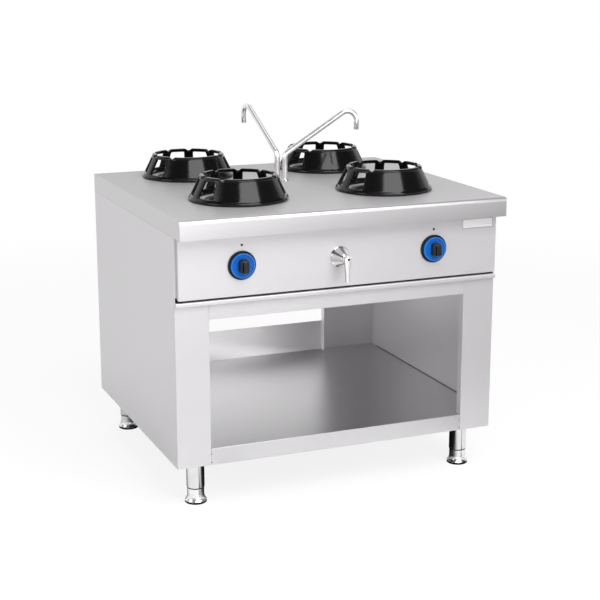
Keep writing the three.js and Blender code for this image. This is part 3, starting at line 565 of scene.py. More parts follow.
# Runs a tree on an object made of loose points, and keeps the result as a plain mesh laid where matrix says
def grown(name, tree, material, inputs, points=(), matrix=Matrix()):
    mesh = bpy.data.meshes.new(name)
    mesh.from_pydata([tuple(point) for point in points], [], [])
    piece = bpy.data.objects.new(name, mesh)
    bpy.context.scene.collection.objects.link(piece)
    modifier = piece.modifiers.new("grow", "NODES")
    modifier.node_group = tree
    inputs = {**inputs, "Material": finishes[material]}
    for item in tree.interface.items_tree:
        if item.item_type == "SOCKET" and item.in_out == "INPUT" and item.name in inputs:
            modifier[item.identifier] = inputs[item.name]
    settled(piece)
    piece.data.transform(matrix)
    return dress(piece, material)


blocksRound = blocksTree()
screwHeads = screwsTree()

# Sheet metal: finish, slot and broken edge of each piece
sheets = {
    "worktop": ("deck", "brushed_steel", 1.0 * mm),
    "side_panel_left": ("steelDeep", "brushed_steel", 0.8 * mm),
    "side_panel_right": ("steelDeep", "brushed_steel", 0.8 * mm),
    "base_shelf": ("shelf", "brushed_steel", 0.7 * mm),
    "front_top_rail": ("steelAcross", "brushed_steel", 0.7 * mm),
    "rear_top_rail": ("steelAcross", "brushed_steel", 0.7 * mm),
    "trim_rail": ("steelAcross", "brushed_steel", 0.4 * mm),
    "control_panel": ("steelAcross", "brushed_steel", 0.7 * mm),
    "rear_panel": ("steelAcross", "brushed_steel", 0.3 * mm),
    "blank_plate": ("plate", "plate_steel", 0.25 * mm),
    "burner_box_floor": ("inner", "inner_steel", 0.3 * mm),
    "burner_bar_front": ("inner", "inner_steel", 0.3 * mm),
    "burner_bar_rear": ("inner", "inner_steel", 0.3 * mm),
}
for node, (material, slot, edge) in sheets.items():
    softened(node, material, slot, edge)

plateBorder = {
    "wide": 1.5 * mm,
    "proud": 0.25 * mm,
    "sunk": 0.2 * mm,  # how deep it starts in the plate
    "edge": 0.1 * mm,
}


# A thin raised line round the blank plate's face
def makePlateBorder():
    low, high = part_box("blank_plate")
    deep, out = low.y + plateBorder["sunk"], low.y - plateBorder["proud"]
    build = bmesh.new()
    loops = []
    for y, inset in ((deep, 0), (out, 0), (out, plateBorder["wide"]), (deep, plateBorder["wide"])):
        left, right, bottom, top = low.x + inset, high.x - inset, low.z + inset, high.z - inset
        corners = ((left, bottom), (right, bottom), (right, top), (left, top))
        loops.append([build.verts.new((x, y, z)) for x, z in corners])
    skinned(build, loops + loops[:1])
    line = bevelled(meshObject("plate_border", build, "inner"), plateBorder["edge"])
    placed(line, "cabinet", "plate_steel")


makePlateBorder()
print("sheet metal done")

ring = {
    "taper": 35 * mm,  # how much smaller the rim's radius is than the base's
    "wall": 11 * mm,
    "foot": 118 * mm,  # inner radius of the foot flange
    "footThick": 6 * mm,
    "footLean": 3 * mm,  # the flange's upper edge is that much wider
    "footRise": 0.5 * mm,  # height where its inner edge starts
    "bead": 9 * mm,  # height of the bead round the foot
    "beadStep": 5 * mm,
    "coneStart": 4 * mm,  # the cone starts that far above the bead
    "ease": 2 * mm,  # rounding of the foot's edges
    "drawn": 1.5 * mm,  # the bead's top and the flange's inner edge are drawn in
    "low": 15 * mm,  # the windows' lower and upper edges above the deck
    "high": 61 * mm,
    "rimBand": 6 * mm,
    "rimProud": 1.2 * mm,
    "rimStep": 0.8 * mm,
    "rimDraw": 0.6,  # share of the band's thickness left at the top
    "rimEase": 1.2 * mm,
    "pillar": 30 * mm,
    "pillars": (46, 84.3, 122.6, 160.9),  # degrees from the front, on both sides
    "windowRows": (0.38, 0.62),  # stations between two pillars, as shares of the way
    "frontSpans": 9,  # the front between the first pillars has no window
    "notchTop": 18 * mm,
    "notchBottom": 8 * mm,
    "notchDeep": 6 * mm,
    "notchBelow": 0.6,  # share of the notch's depth that the band under the rim sinks
    "soft": 4 * mm,  # distance of the extra rows that keep the edges firm
}


# Stations round the ring: (angle, distance along the wall from that angle, kind of place)
def ringColumns():
    angles = sorted([*ring["pillars"], *(360 - angle for angle in ring["pillars"])])
    half, soft = ring["pillar"] / 2, ring["soft"]
    notchTop, notchBottom = ring["notchTop"] / 2, ring["notchBottom"] / 2
    columns = []
    for i, angle in enumerate(angles):
        first, last = i == 0, i == len(angles) - 1
        offsets = [
            (-half - soft, "wall" if first else "window"), (-half, "edge"), (-notchTop, "wall"),
            (-notchBottom, "notch"), (notchBottom, "notch"), (notchTop, "wall"), (half, "edge"),
            (half + soft, "wall" if last else "window")]
        columns += [(math.radians(angle), offset, kind) for offset, kind in offsets]
        following = angles[0] + 360 if last else angles[i + 1]
        spans = ring["frontSpans"]
        for share in [k / spans for k in range(1, spans)] if last else ring["windowRows"]:
            between = math.radians(angle + (following - angle) * share)
            columns.append((between, 0.0, "wall" if last else "window"))
    return columns


def makeRing(place):
    node = "wok_ring_" + place
    base, height, matrix = standing(node)
    wall, foot, soft, ease, rimEase = (ring[key] for key in ("wall", "foot", "soft", "ease", "rimEase"))
    top = base - ring["taper"]
    coneFoot = ring["bead"] + ring["coneStart"]
    slope = (base - ring["beadStep"] - top) / (height - coneFoot)

    def outer(level):
        return base - ring["beadStep"] - (level - coneFoot) * slope

    # section as (radius, height): up the outside, over the rim and down the inside
    band = height - ring["rimBand"]
    rows = [(base - ease, 0), (base, ease), (base, ring["bead"] - ease),
            (base - ring["drawn"], ring["bead"]), (outer(coneFoot), coneFoot)]
    levels = (ring["low"], ring["low"] + soft, ring["high"] - soft, ring["high"])
    lowRow = len(rows)
    highRow = lowRow + len(levels) - 1
    rows += [(outer(level), level) for level in levels]
    rows += [(outer(band), band), (outer(band) + ring["rimProud"], band + ring["rimStep"]),
             (outer(height) + ring["rimProud"] * ring["rimDraw"], height - rimEase)]
    rimRow = len(rows) - 1
    rows += [(outer(height) - rimEase, height), (outer(height) - wall + rimEase, height),
             (outer(height) - wall, height - rimEase)]
    innerRim = len(rows) - 1
    rows += [(outer(level) - wall, level) for level in reversed(levels)]
    innerHigh = innerRim + 1
    innerLow = innerRim + len(levels)
    rows += [(outer(coneFoot) - wall, coneFoot - ease), (foot + ring["footLean"], ring["footThick"]),
             (foot, ring["footThick"] - ring["drawn"]), (foot, ring["footRise"]), (foot + ease, 0)]

    columns = ringColumns()
    build = bmesh.new()
    grid = []
    for angle, offset, kind in columns:
        line = []
        for index, (radius, level) in enumerate(rows):
            wallMiddle = min(outer(max(level, coneFoot)), base) - wall / 2
            turn = angle + offset / wallMiddle
            if kind == "notch" and rimRow - 1 <= index <= innerRim:
                level -= ring["notchDeep"] * (1 if index >= rimRow else ring["notchBelow"])
            line.append(build.verts.new((radius * math.sin(turn), -radius * math.cos(turn), level)))
        grid.append(line)
    for c in range(len(columns)):
        n = (c + 1) % len(columns)
        here, there = grid[c], grid[n]
        opened = "window" in (columns[c][2], columns[n][2])
        for k in range(len(rows)):
            m = (k + 1) % len(rows)
            through = lowRow <= k < highRow or innerHigh <= k < innerLow
            if not (opened and through):
                build.faces.new((here[k], there[k], there[m], here[m]))
        if not opened:
            continue
        build.faces.new((here[lowRow], there[lowRow], there[innerLow], here[innerLow]))  # the window's sill
        build.faces.new((here[highRow], here[innerHigh], there[innerHigh], there[highRow]))  # and its head
        for line in [grid[i] for i in (c, n) if columns[i][2] == "edge"]:  # and its sides
            for step in range(highRow - lowRow):
                a, b = lowRow + step, innerLow - step
                build.faces.new((line[a], line[a + 1], line[b - 1], line[b]))
    loose = [vert for vert in build.verts if not vert.link_faces]
    bmesh.ops.delete(build, geom=loose, context="VERTS")
    bmesh.ops.recalc_face_normals(build, faces=build.faces)
    build.transform(matrix)
    casting = subdivided(meshObject("look_" + node, build, "enamel", 180), 2)
    placed(casting, "ring_" + place, "black_enamel", node)


for place in places:
    makeRing(place)
print("rings done")

burner = {
    "hole": 26 * mm,  # the bowl's radii, and its floor and well under and inside the sheet
    "floor": (60 * mm, 59 * mm),
    "well": (97 * mm, 95 * mm),
    "sheet": 2 * mm,
    "stem": 20 * mm,  # radius of the body's stem
    "collarAt": 10.3 * mm,  # height of the collar's lower face
    "collar": 8 * mm,  # its width and its height
    "head": 25 * mm,
    "headSlope": (20 * mm, 14 * mm),  # the slope under the head, inwards and up
    "headWall": (12 * mm, 16 * mm),  # thickness at its top and its foot
    "headFloor": 11 * mm,
    "capEdge": 5 * mm,
    "capSlope": 16 * mm,
    "button": 12 * mm,  # radius of the button on the cap, how far it narrows, and its height
    "buttonDraw": 1 * mm,
    "buttonHigh": 2 * mm,
    "teeth": 36,
    "tooth": (5 * mm, 4.2 * mm, 7 * mm),  # depth, width and height
    "toothIn": 0.5 * mm,  # into the cap's side
    "toothBelow": 0.6 * mm,  # below the cap's foot
}


# In every profile the third number of a corner is the radius that rounds it
def makeBurner(place):
    bowl = "burner_bowl_" + place
    flange, rim, matrix = standing(bowl)
    hole, sheet = burner["hole"], burner["sheet"]
    (floorUnder, floorInside), (wellUnder, wellInside) = burner["floor"], burner["well"]
    shell = rounded([
        (hole, 0), (floorUnder, 0, 9 * mm), (wellUnder, rim - sheet, 4 * mm), (flange, rim - sheet),
        (flange, rim), (wellInside, rim, 4 * mm), (floorInside, sheet, 9 * mm), (hole, sheet)])
    placed(turned("look_" + bowl, shell, "bowl", matrix), "cabinet", "bowl_enamel", bowl)

    body = "burner_body_" + place
    radius, tall, matrix = standing(body)
    stem, low = burner["stem"], burner["collarAt"]
    wide, high = stem + burner["collar"], low + burner["collar"]
    seat = tall - burner["head"]
    slopeIn, slopeUp = burner["headSlope"]
    wallTop, wallFoot = burner["headWall"]
    floor = seat + burner["headFloor"]
    casting = rounded([
        (0, 0), (stem, 0, 1 * mm), (stem, low), (wide, low, 1 * mm), (wide, high, 2 * mm),
        (stem, high, 3 * mm), (stem, seat, 3 * mm), (radius - slopeIn, seat, 6 * mm),
        (radius, seat + slopeUp, 5 * mm), (radius, tall, 2 * mm), (radius - wallTop, tall, 1 * mm),
        (radius - wallFoot, floor, 3 * mm), (0, floor)], closed=False)
    placed(turned("look_" + body, casting, "iron", matrix), "cabinet", "burner_iron", body)

    cap = "burner_cap_" + place
    radius, tall, matrix = standing(cap)
    button, crown = burner["button"], tall - burner["buttonHigh"]
    lid = rounded([
        (0, 0), (radius, 0, 1 * mm), (radius, burner["capEdge"], 2 * mm),
        (radius - burner["capSlope"], crown, 8 * mm), (button, crown, 1 * mm),
        (button - burner["buttonDraw"], tall, 1 * mm), (0, tall)], closed=False)
    placed(turned("look_" + cap, lid, "iron", matrix), "cabinet", "burner_iron", cap)
    toothDeep, toothWide, toothHigh = burner["tooth"]
    teeth = grown("burner_teeth_" + place, blocksRound, "iron", {
        "Count": burner["teeth"], "Radius": radius + toothDeep / 2 - burner["toothIn"], "First Angle": 0.0,
        "Step Angle": 2 * math.pi / burner["teeth"], "Block": (toothDeep, toothWide, toothHigh),
        "Height": toothHigh / 2 - burner["toothBelow"],
    }, matrix=matrix)
    placed(teeth, "cabinet", "burner_iron")


for place in places:
    makeBurner(place)
print("burners done")

leg = {
    "tube": 26 * mm,  # radii of the tube and its bore
    "bore": 23 * mm,
    "flange": 3 * mm,  # thickness
    "neck": 24.5 * mm,  # radii of the foot's neck and its stud
    "stud": 20 * mm,
    "body": 47 * mm,  # heights of the foot's steel body, of its flare's top and of its rubber pad
    "flareTop": 32 * mm,
    "pad": 6 * mm,
    "flareFoot": 1.5 * mm,  # the flare starts that far above the pad
    "flareSteps": 12,
    # depth of the groove round the neck, at places below the body's top
    "groove": ((0, 3 * mm), (0.8 * mm, 2.4 * mm), (0.8 * mm, 1.2 * mm), (0, 0.6 * mm)),
    "lip": 0.8 * mm,  # the steel's lower edge lies that far in
    "sole": (2 * mm, 1.6 * mm),  # the pad's chamfer, in and up
    "padDraw": 0.4 * mm,  # the pad's upper edge lies that far in
    "seal": 25.3 * mm,  # radius and height of the black ring at the body's top, a painted shade under the tube's edge, and how deep it sits in the neck
    "sealHigh": 2.6 * mm,
    "sealDeep": 1.2 * mm,
}


def makeLeg(place):
    tube = "leg_tube_" + place
    flange, tall, matrix = standing(tube)
    radius, bore, under = leg["tube"], leg["bore"], tall - leg["flange"]
    profile = rounded([
        (bore, 0), (radius, 0, 1 * mm), (radius, under, 3 * mm), (flange, under, 1 * mm),
        (flange, tall, 0.5 * mm), (bore, tall)])
    placed(turned("look_" + tube, profile, "tube", matrix), "cabinet", "polished_steel", tube)

    foot = "foot_" + place
    radius, tall, matrix = standing(foot)
    neck, stud, body, pad = (leg[key] for key in ("neck", "stud", "body", "pad"))
    flareLow = pad + leg["flareFoot"]
    corners = [(0, pad), (radius - leg["lip"], pad, 0.3 * mm)]
    for k in range(leg["flareSteps"] + 1):
        share = k / leg["flareSteps"]
        out = neck + (radius - neck) * (1 - share) ** 3
        corners.append((out, flareLow + (leg["flareTop"] - flareLow) * share))
    corners += [(neck - deep, body - below) for deep, below in leg["groove"]]
    corners += [(neck, body, 0.4 * mm), (stud, body), (stud, tall), (0, tall)]
    steel = turned("look_" + foot, rounded(corners, closed=False), "foot", matrix)
    placed(steel, foot, "polished_steel", foot)

    soleIn, soleUp = leg["sole"]
    sole = rounded([
        (0, 0), (radius - soleIn, 0, 1 * mm), (radius, soleUp, 1 * mm),
        (radius - leg["padDraw"], pad, 0.4 * mm), (0, pad)], closed=False)
    placed(turned("foot_pad_" + place, sole, "rubber", matrix), foot, "bezel_plastic")
    # a black ring put in as painted shade under the tube's lower edge
    inside, outside, low = neck - leg["sealDeep"], leg["seal"], body - leg["sealHigh"]
    seal = rounded([(inside, low), (outside, low, 0.6 * mm), (outside, body, 0.6 * mm), (inside, body)])
    placed(turned("foot_seal_" + place, seal, "rubber", matrix), foot, "bezel_plastic")


for place in places:
    makeLeg(place)
print("legs done")

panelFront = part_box("control_panel")[0].y


# A control's own frame: its local +Z points out of the panel, its local +Y points up
def onPanel(node, right=0, up=0):
    centre = middle(node)
    spot = Matrix.Translation((centre.x + right, panelFront, centre.z + up))
    return spot @ Matrix.Rotation(math.pi / 2, 4, "X")


# A round control's radius, and how far its back and its face stand out of the panel
def standingOut(node):
    low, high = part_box(node)
    return (high.x - low.x) / 2, panelFront - high.y, panelFront - low.y


knob = {
    "lip": 3.6 * mm,  # width of the bezel's lip
    "plate": 2.5 * mm,  # thickness of its plate
    "hole": 9 * mm,
    "bore": 4.3 * mm,  # radii of the dial's bore and its hub
    "hub": 7.5 * mm,
    "hubHigh": 2.5 * mm,
    "atEdge": 0.3 * mm,  # how far the dial's face lies back at its edge, line, dish and bore
    "atLine": 0.2 * mm,
    "atDish": 0.9 * mm,
    "atBore": 0.4 * mm,
    "dishFrom": 8 * mm,  # in from the dial's edge
    "dishTo": 16 * mm,  # radius
    "lineIn": 2.6 * mm,  # middle of the pale line, in from the dial's edge
    "lineWide": 0.8 * mm,
    "line": (0.5 * mm, 0.05 * mm),  # its back and its face, under the dial's
    "ticks": 8,
    "tickFirst": 78,  # degrees, anticlockwise from the right
    "tickStep": -19,
    "tick": (5 * mm, 2.3 * mm, 0.35 * mm),
    "tickIn": 5.6 * mm,  # in from the dial's edge
    "tickUnder": 0.45 * mm,  # its middle under the dial's face
    "gripCorner": 0.33,  # share of the grip's width
    "gripFoot": 1.2 * mm,
    "gripCrown": ((4 * mm, 1 * mm), (1.5 * mm, 2 * mm), (0, 4 * mm)),  # depth under its face, and inset
    "gripEdge": 0.35 * mm,
    "groove": 4.8 * mm,
    "grooveDeep": 4.5 * mm,
    "grooveShift": -7.4 * mm,  # from the grip's middle, to its left
    "grooveEnd": 5 * mm,  # short of the grip's ends
    "cutOver": 2 * mm,  # the groove's cut starts that far in front of the face
    "mark": 0.5 * mm,  # thickness of the dark floor in the groove
    "index": (3.6 * mm, 0.35 * mm),  # radius and height of the mark above the knob
    "indexAt": (1 * mm, 57 * mm),  # right of the knob's middle and above it
}


def makeBezel(side):
    bezel = "knob_bezel_" + side
    radius, back, face = standingOut(bezel)
    inside, hole, floor = radius - knob["lip"], knob["hole"], back + knob["plate"]
    profile = rounded([
        (hole, back), (radius, back), (radius, face, 1.6 * mm), (inside, face, 0.8 * mm), (inside, floor),
        (hole, floor)])
    piece = turned("look_" + bezel, profile, "bezel", onPanel(bezel), 96)
    placed(piece, "cabinet", "bezel_plastic", bezel)


def makeDial(side):
    body, axis = "knob_" + side, onPanel("knob_bezel_" + side)
    dial, back, face = standingOut("knob_dial_" + side)
    bore, hub, half = knob["bore"], knob["hub"], knob["lineWide"] / 2
    disc, dish = back + knob["hubHigh"], face - knob["atDish"]
    lineRadius = dial - knob["lineIn"]
    profile = rounded([
        (bore, back), (hub, back), (hub, disc), (dial, disc), (dial, face - knob["atEdge"], 1.2 * mm),
        (lineRadius, face - knob["atLine"]), (dial - knob["dishFrom"], dish, 6 * mm),
        (knob["dishTo"], dish, 4 * mm), (bore, face - knob["atBore"])])
    piece = turned("look_knob_dial_" + side, profile, "blue", axis, 96)
    placed(piece, body, "dial_blue", "knob_dial_" + side)
    low, high = (face - under for under in knob["line"])
    inside, outside = lineRadius - half, lineRadius + half
    section = [(inside, low), (outside, low), (outside, high), (inside, high)]
    placed(turned("dial_line_" + side, section, "ring", axis, 96), body, "dial_blue")
    ticks = grown("dial_ticks_" + side, blocksRound, "print", {
        "Count": knob["ticks"], "Radius": dial - knob["tickIn"], "Block": knob["tick"],
        "First Angle": math.radians(knob["tickFirst"]), "Step Angle": math.radians(knob["tickStep"]),
        "Height": face - knob["tickUnder"],
    }, matrix=axis)
    placed(ticks, body, "dial_blue")


# A bar with a crowned face, and a groove left of its middle with a dark floor
def makeGrip(side):
    grip, body, axis = "knob_grip_" + side, "knob_" + side, onPanel("knob_bezel_" + side)
    low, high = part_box(grip)
    wide, tall = high.x - low.x, high.z - low.z
    start, face = standingOut(grip)[1:]
    build = bmesh.new()
    loops = []
    crown = [(face - start - under, inset) for under, inset in knob["gripCrown"]]
    for rise, inset in [(0, 0), (knob["gripFoot"], 0)] + crown:
        w, h = wide / 2 - inset, tall / 2 - inset
        corner = max(wide * knob["gripCorner"] - inset, 1 * mm)
        edge = rounded([(w, -h, corner), (w, h, corner), (-w, h, corner), (-w, -h, corner)], steps=8)
        loops.append([build.verts.new((x, y, start + rise)) for x, y in edge])
    skinned(build, loops, capped=True)
    build.transform(axis)
    piece = meshObject("look_" + grip, build, "grip")
    left, right = knob["grooveShift"] - knob["groove"] / 2, knob["grooveShift"] + knob["groove"] / 2
    length = tall / 2 - knob["grooveEnd"]
    outline = [(left, -length), (right, -length), (right, length), (left, length)]
    floor = face - knob["grooveDeep"]
    cutter = raised("grooveCutter", outline, floor, face + knob["cutOver"], "print", matrix=axis)
    cut = piece.modifiers.new("groove", "BOOLEAN")
    cut.object = cutter
    cut.operation = "DIFFERENCE"
    cut.solver = "EXACT"
    settled(piece)
    bpy.data.objects.remove(cutter)
    bevelled(dress(piece, "grip"), knob["gripEdge"], 2, 50)
    placed(piece, body, "grip_plastic", grip)
    outline = rounded([(x, y, 0.8 * mm) for x, y in outline])
    fill = raised("grip_mark_" + side, outline, floor, floor + knob["mark"], "rubber", 0.2 * mm, axis)
    placed(fill, body, "grip_plastic")


def makeIndex(side):
    radius, high = knob["index"]
    profile = rounded([(0, 0), (radius, 0), (radius, high, 0.2 * mm), (0, high)], closed=False)
    spot = onPanel("knob_bezel_" + side, *knob["indexAt"])
    placed(turned("index_mark_" + side, profile, "print", spot, 32), "cabinet", "bezel_plastic")


for side in sides:
    makeBezel(side)
    makeDial(side)
    makeGrip(side)
    makeIndex(side)
print("knobs done")

tap = {
    "bore": 10.9 * mm,
    "rim": 3 * mm,  # height of the rosette's rim
    "rimStep": (1.2 * mm, 0.8 * mm),  # the rim's chamfer, in and up
    "cone": 1.5 * mm,  # the cone starts that far in from the rim
    "coneSteps": 20,
    "coneCurve": 1.35,
    "tip": 14.5 * mm,  # radius where the cone ends
    "hub": 12.5 * mm,  # half width of the lever over its hub and at its round end, and the length between
    "end": 6.5 * mm,
    "length": 60 * mm,
    "start": 0.98,  # share of the hub's radius where the first section lies
    "rings": 28,
    "sides": 20,
    "waist": 0.75,  # power of the arm's narrowing
    "square": (0.9, 0.95),  # powers that fill the section's corners
    "least": 0.9 * mm,  # half width of the last section
    "deep": 6.2 * mm,  # half the arm's thickness
    "armMiddle": 6.8 * mm,  # behind the lever's front
    "droop": 3.5 * mm,  # the round end lies that much further back
    "droopCurve": 1.3,
    "gap": 1 * mm,  # between the rosette and the hub
    "pin": 5 * mm,  # radius and length of the hub's pin
    "pinLong": 6 * mm,
    "shoulder": (9 * mm, 6 * mm),  # the hub's chamfer, from and to that far behind the lever's front
    "shoulderIn": 3 * mm,
    "dot": 3.4 * mm,  # radius of the index dot, its thickness, and how far it sits above the middle
    "dotThick": 1.6 * mm,
    "dotRise": 3 * mm,
}


def makeRosette():
    radius, back, reach = standingOut("tap_rosette")
    bore, rim, tip = tap["bore"], tap["rim"], tap["tip"]
    stepIn, stepUp = tap["rimStep"]
    corners = [(bore, back), (radius, back), (radius, rim, 1 * mm), (radius - stepIn, rim + stepUp)]
    for k in range(1, tap["coneSteps"]):
        share = k / tap["coneSteps"]
        out = tip + (radius - tap["cone"] - tip) * (1 - share) ** tap["coneCurve"]
        corners.append((out, rim + (reach - rim) * share))
    corners += [(tip, reach, 1 * mm), (bore, reach)]
    piece = turned("look_tap_rosette", rounded(corners), "rosette", onPanel("tap_rosette"), 96, 30)
    placed(piece, "cabinet", "chrome", "tap_rosette")


# The lever's half width at a height above or below its hub's middle
def leverWidth(y):
    hub, end, length = tap["hub"], tap["end"], tap["length"]
    if y > 0:
        return math.sqrt(max(hub**2 - y**2, 0))
    if -y > length:
        return math.sqrt(max(end**2 - (-y - length) ** 2, 0))
    return hub + (end - hub) * min(1, (-y / length) ** tap["waist"])


# Flattened sections that follow the arm from over its hub down to a round tip
def makeLever():
    axis, low = onPanel("tap_rosette"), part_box("tap_lever")[0]
    front = panelFront - low.y
    tipBelow = low.z - middle("tap_rosette").z
    start = tap["hub"] * tap["start"]
    build = bmesh.new()
    loops = []
    for k in range(tap["rings"] + 1):
        y = start - k / tap["rings"] * (start - tipBelow)
        wide = max(leverWidth(y), tap["least"])
        droop = -tap["droop"] * max(0, min(1, (-y) / tap["length"])) ** tap["droopCurve"]
        deep = tap["deep"] * min(1, wide / tap["end"])
        level = front - tap["armMiddle"] + droop
        loop = []
        for n in range(tap["sides"]):
            angle = 2 * math.pi * n / tap["sides"]
            c, s = math.cos(angle), math.sin(angle)
            x = wide * math.copysign(abs(c) ** tap["square"][0], c)
            z = level + deep * math.copysign(abs(s) ** tap["square"][1], s)
            loop.append(build.verts.new((x, y, z)))
        loops.append(loop)
    skinned(build, loops, capped=True)
    build.transform(axis)
    arm = subdivided(meshObject("look_tap_lever", build, "lever", 60), 1)
    placed(arm, "tap_lever", "chrome", "tap_lever")

    hub, pin, back = tap["hub"], tap["pin"], standingOut("tap_rosette")[2] + tap["gap"]
    pinEnd = back - tap["pinLong"]
    low, high = (front - behind for behind in tap["shoulder"])
    profile = rounded([
        (0, pinEnd), (pin, pinEnd), (pin, back), (hub, back, 0.8 * mm), (hub, low, 2 * mm),
        (hub - tap["shoulderIn"], high, 1 * mm), (0, high)], closed=False)
    placed(turned("tap_hub", profile, "chrome", axis, 64, 50), "tap_lever", "chrome")
    radius, back = tap["dot"], front - tap["dotThick"]
    profile = rounded([(0, back), (radius, back), (radius, front, 0.5 * mm), (0, front)], closed=False)
    spot = axis @ Matrix.Translation((0, tap["dotRise"], 0))
    placed(turned("tap_index", profile, "rubber", spot, 32), "tap_lever", "chrome")


makeRosette()
makeLever()
print("tap done")

spout = {
    "radius": 8.5 * mm,
    "bore": 7 * mm,
    "reach": 228 * mm,
    "bendHeight": 934 * mm,
    "cornerHeight": 1089.4 * mm,
    "outlet": 1006 * mm,
    "bends": (26 * mm, 29 * mm),
    "socketFloor": 816.3 * mm,
    "collar": (12.8 * mm, 10.2 * mm),  # radii at the collar's foot and top
    "collarHigh": (4.2 * mm, 6 * mm),  # heights of its side and its top
    "collarGap": 0.5 * mm,  # round the tube
    "collarLift": 0.2 * mm,  # above the deck
    "baseEdge": 0.6 * mm,
}


def makeSpout(end, turn):
    joint = next(j for j in frame["joints"] if j["name"] == f"spout_{end}_swivel")
    x, y = joint["pos_m"][:2]
    corners = [(0, 0, spout["socketFloor"]), (0, 0, spout["bendHeight"]),
               (spout["reach"], 0, spout["cornerHeight"]), (spout["reach"], 0, spout["outlet"])]
    stations = bentPath(corners, spout["bends"])
    matrix = Matrix.Translation((x, y, 0)) @ Matrix.Rotation(math.radians(turn), 4, "Z")
    piece = tubed("look_spout_" + end, stations, spout["radius"], "spout", spout["bore"], matrix, 40)
    placed(piece, "spout_" + end, "spout_chrome", "spout_" + end)
    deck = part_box("worktop")[1].z
    inside = spout["radius"] + spout["collarGap"]
    (foot, top), (side, high) = spout["collar"], spout["collarHigh"]
    collar = rounded([(inside, 0), (foot, 0), (foot, side, 1 * mm), (top, high, 0.6 * mm), (inside, high)])
    base = Matrix.Translation((x, y, deck + spout["collarLift"]))
    placed(turned("spout_collar_" + end, collar, "chrome", base, 48), "cabinet", "chrome")


makeSpout("front", -12)
makeSpout("rear", 97)
softened("spout_base", "chrome", "chrome", spout["baseEdge"])
print("spouts done")

softened("gas_manifold", "inner", "inner_steel", 0, smoothAngle=50)
for pipe in ("water_supply_pipe", "water_feed_pipe", *("feed_pipe_" + place for place in places)):
    softened(pipe, "copper", "pipe_copper", 0, smoothAngle=50)
for valve in ("tap_valve", "gas_valve_left", "gas_valve_right"):
    softened(valve, "brass", "valve_brass", 0, smoothAngle=50)
for side in sides:
    softened("valve_spindle_" + side, "brass", "valve_brass", 0, "spindle_" + side, 50)
print("inside done")

seam = {
    "shelfTop": 177 * mm,
    "bead": 1.4 * mm,
    "beadIn": 0.4 * mm,  # the bead's middle, in from the shelf's side and above its sheet
    "beadShort": 44 * mm,  # it ends that far before the shelf's front and rear
    "weldAcross": 398.5 * mm,
    "weldHeights": (136 * mm, 161 * mm),
    "weld": (1.5 * mm, 0.4 * mm),  # radius and height
}
rearScrews = {
    "head": (3.6 * mm, 1.6 * mm),  # radius and height
    "columns": 6,
    "fromSides": 20 * mm,
    "fromFoot": 14 * mm,
    "fromTop": 10 * mm,
}


def screwRow(name, points, rotation, material, radius, height):
    sizes = {"Head Radius": radius, "Head Height": height, "Rotation": rotation}
    return placed(grown(name, screwHeads, material, sizes, points), "cabinet", "polished_steel")


# Dark joints along the shelf's sides, and the weld spots where its front fold meets the posts
def makeSeams():
    low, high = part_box("base_shelf")
    front, rear = low.y + seam["beadShort"], high.y - seam["beadShort"]
    level = seam["shelfTop"] + seam["beadIn"]
    for side, x in (("left", low.x + seam["beadIn"]), ("right", high.x - seam["beadIn"])):
        line = bentPath([(x, front, level), (x, rear, level)])
        bead = tubed("shelf_joint_" + side, line, seam["bead"], "print", sidesRound=12)
        placed(bead, "cabinet", "bezel_plastic")
    across = seam["weldAcross"]
    spots = [(x, low.y, z) for x in (-across, across) for z in seam["weldHeights"]]
    screwRow("weld_spots", spots, (math.pi / 2, 0, 0), "print", *seam["weld"])


def makeScrews():
    low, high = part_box("rear_panel")
    edge, last = rearScrews["fromSides"], rearScrews["columns"] - 1
    spots = []
    for k in range(rearScrews["columns"]):
        x = low.x + edge + (high.x - low.x - 2 * edge) * k / last
        spots.append((x, high.y, low.z + rearScrews["fromFoot"]))
        spots.append((x, high.y, high.z - rearScrews["fromTop"]))
    screwRow("rear_panel_screws", spots, (-math.pi / 2, 0, 0), "tube", *rearScrews["head"])


makeSeams()
makeScrews()
print("seams and screws done")

view = {
    "place": (-1.618, -3.993, 1.550),
    "yaw": 22.46,
    "pitch": 13.88,
    "lens": 84.96,
    "sensor": 36,
}
studio = {
    "bandLow": (0.24, 0.42),  # height of the dark band in the reflections, as the Z of a direction
    "bandHigh": (0.88, 0.97),
    "bandBack": (0.3, 0.6),
    "bandTone": 0.06,
    "fill": 0.6,  # strength of the white all round, for light that isn't mirrored
    "floorSize": 14,
    "floorTone": 0.93,
    "floorGlow": 0.85,  # share of the floor's white that its shadows leave alone, seen directly
    "glowFull": (1.5, 4.0),  # distances between which that share grows to all of it
    "mirrorNear": 0.66,  # metal mirrors the floor's shadows up to here, and a plain floor from here on
    "mirrorFar": 1.35,
    "mirrorTone": (0.64, 0.12),  # painted tone of that floor in front, from its left to its right
    "mirrorAcross": (-0.8, 0.8),  # places where left ends and right begins
    "mirrorSkew": 0.4,  # how much they shift with depth
    "mirrorAhead": (-0.6, 0.4),  # depths between which the front fades out
    "underPaintedShade": (0.46, 0.6, 0.02),  # below the range a painted shade darkens it still: radii and tone
    "legShade": math.radians(27),  # way of the thin painted shadow that each front leg mirrors
    "legShadeWide": 16 * mm,
}
lamps = {  # place, target, width, height and power of each softbox
    "frontBox": ((0.3, -2.6, 3.3), (-0.1, 0, 0.9), 2.6, 2.4, 125),
    "lowBox": ((-0.4, -2.9, 0.5), (-0.65, -0.4, 0.8), 1.3, 0.9, 7.5),
    "innerBox": ((0.95, -3.7, 1.3), (0, 0.3, 0.25), 1.6, 0.9, 16),
    "leftBox": ((-3.4, -0.6, 2.2), (-0.4, 0, 0.6), 1.6, 1.6, 25),
    "wallBox": ((-0.3, 0.33, 0.36), (0.5, -0.1, 0.33), 0.25, 0.2, 4.2),
}


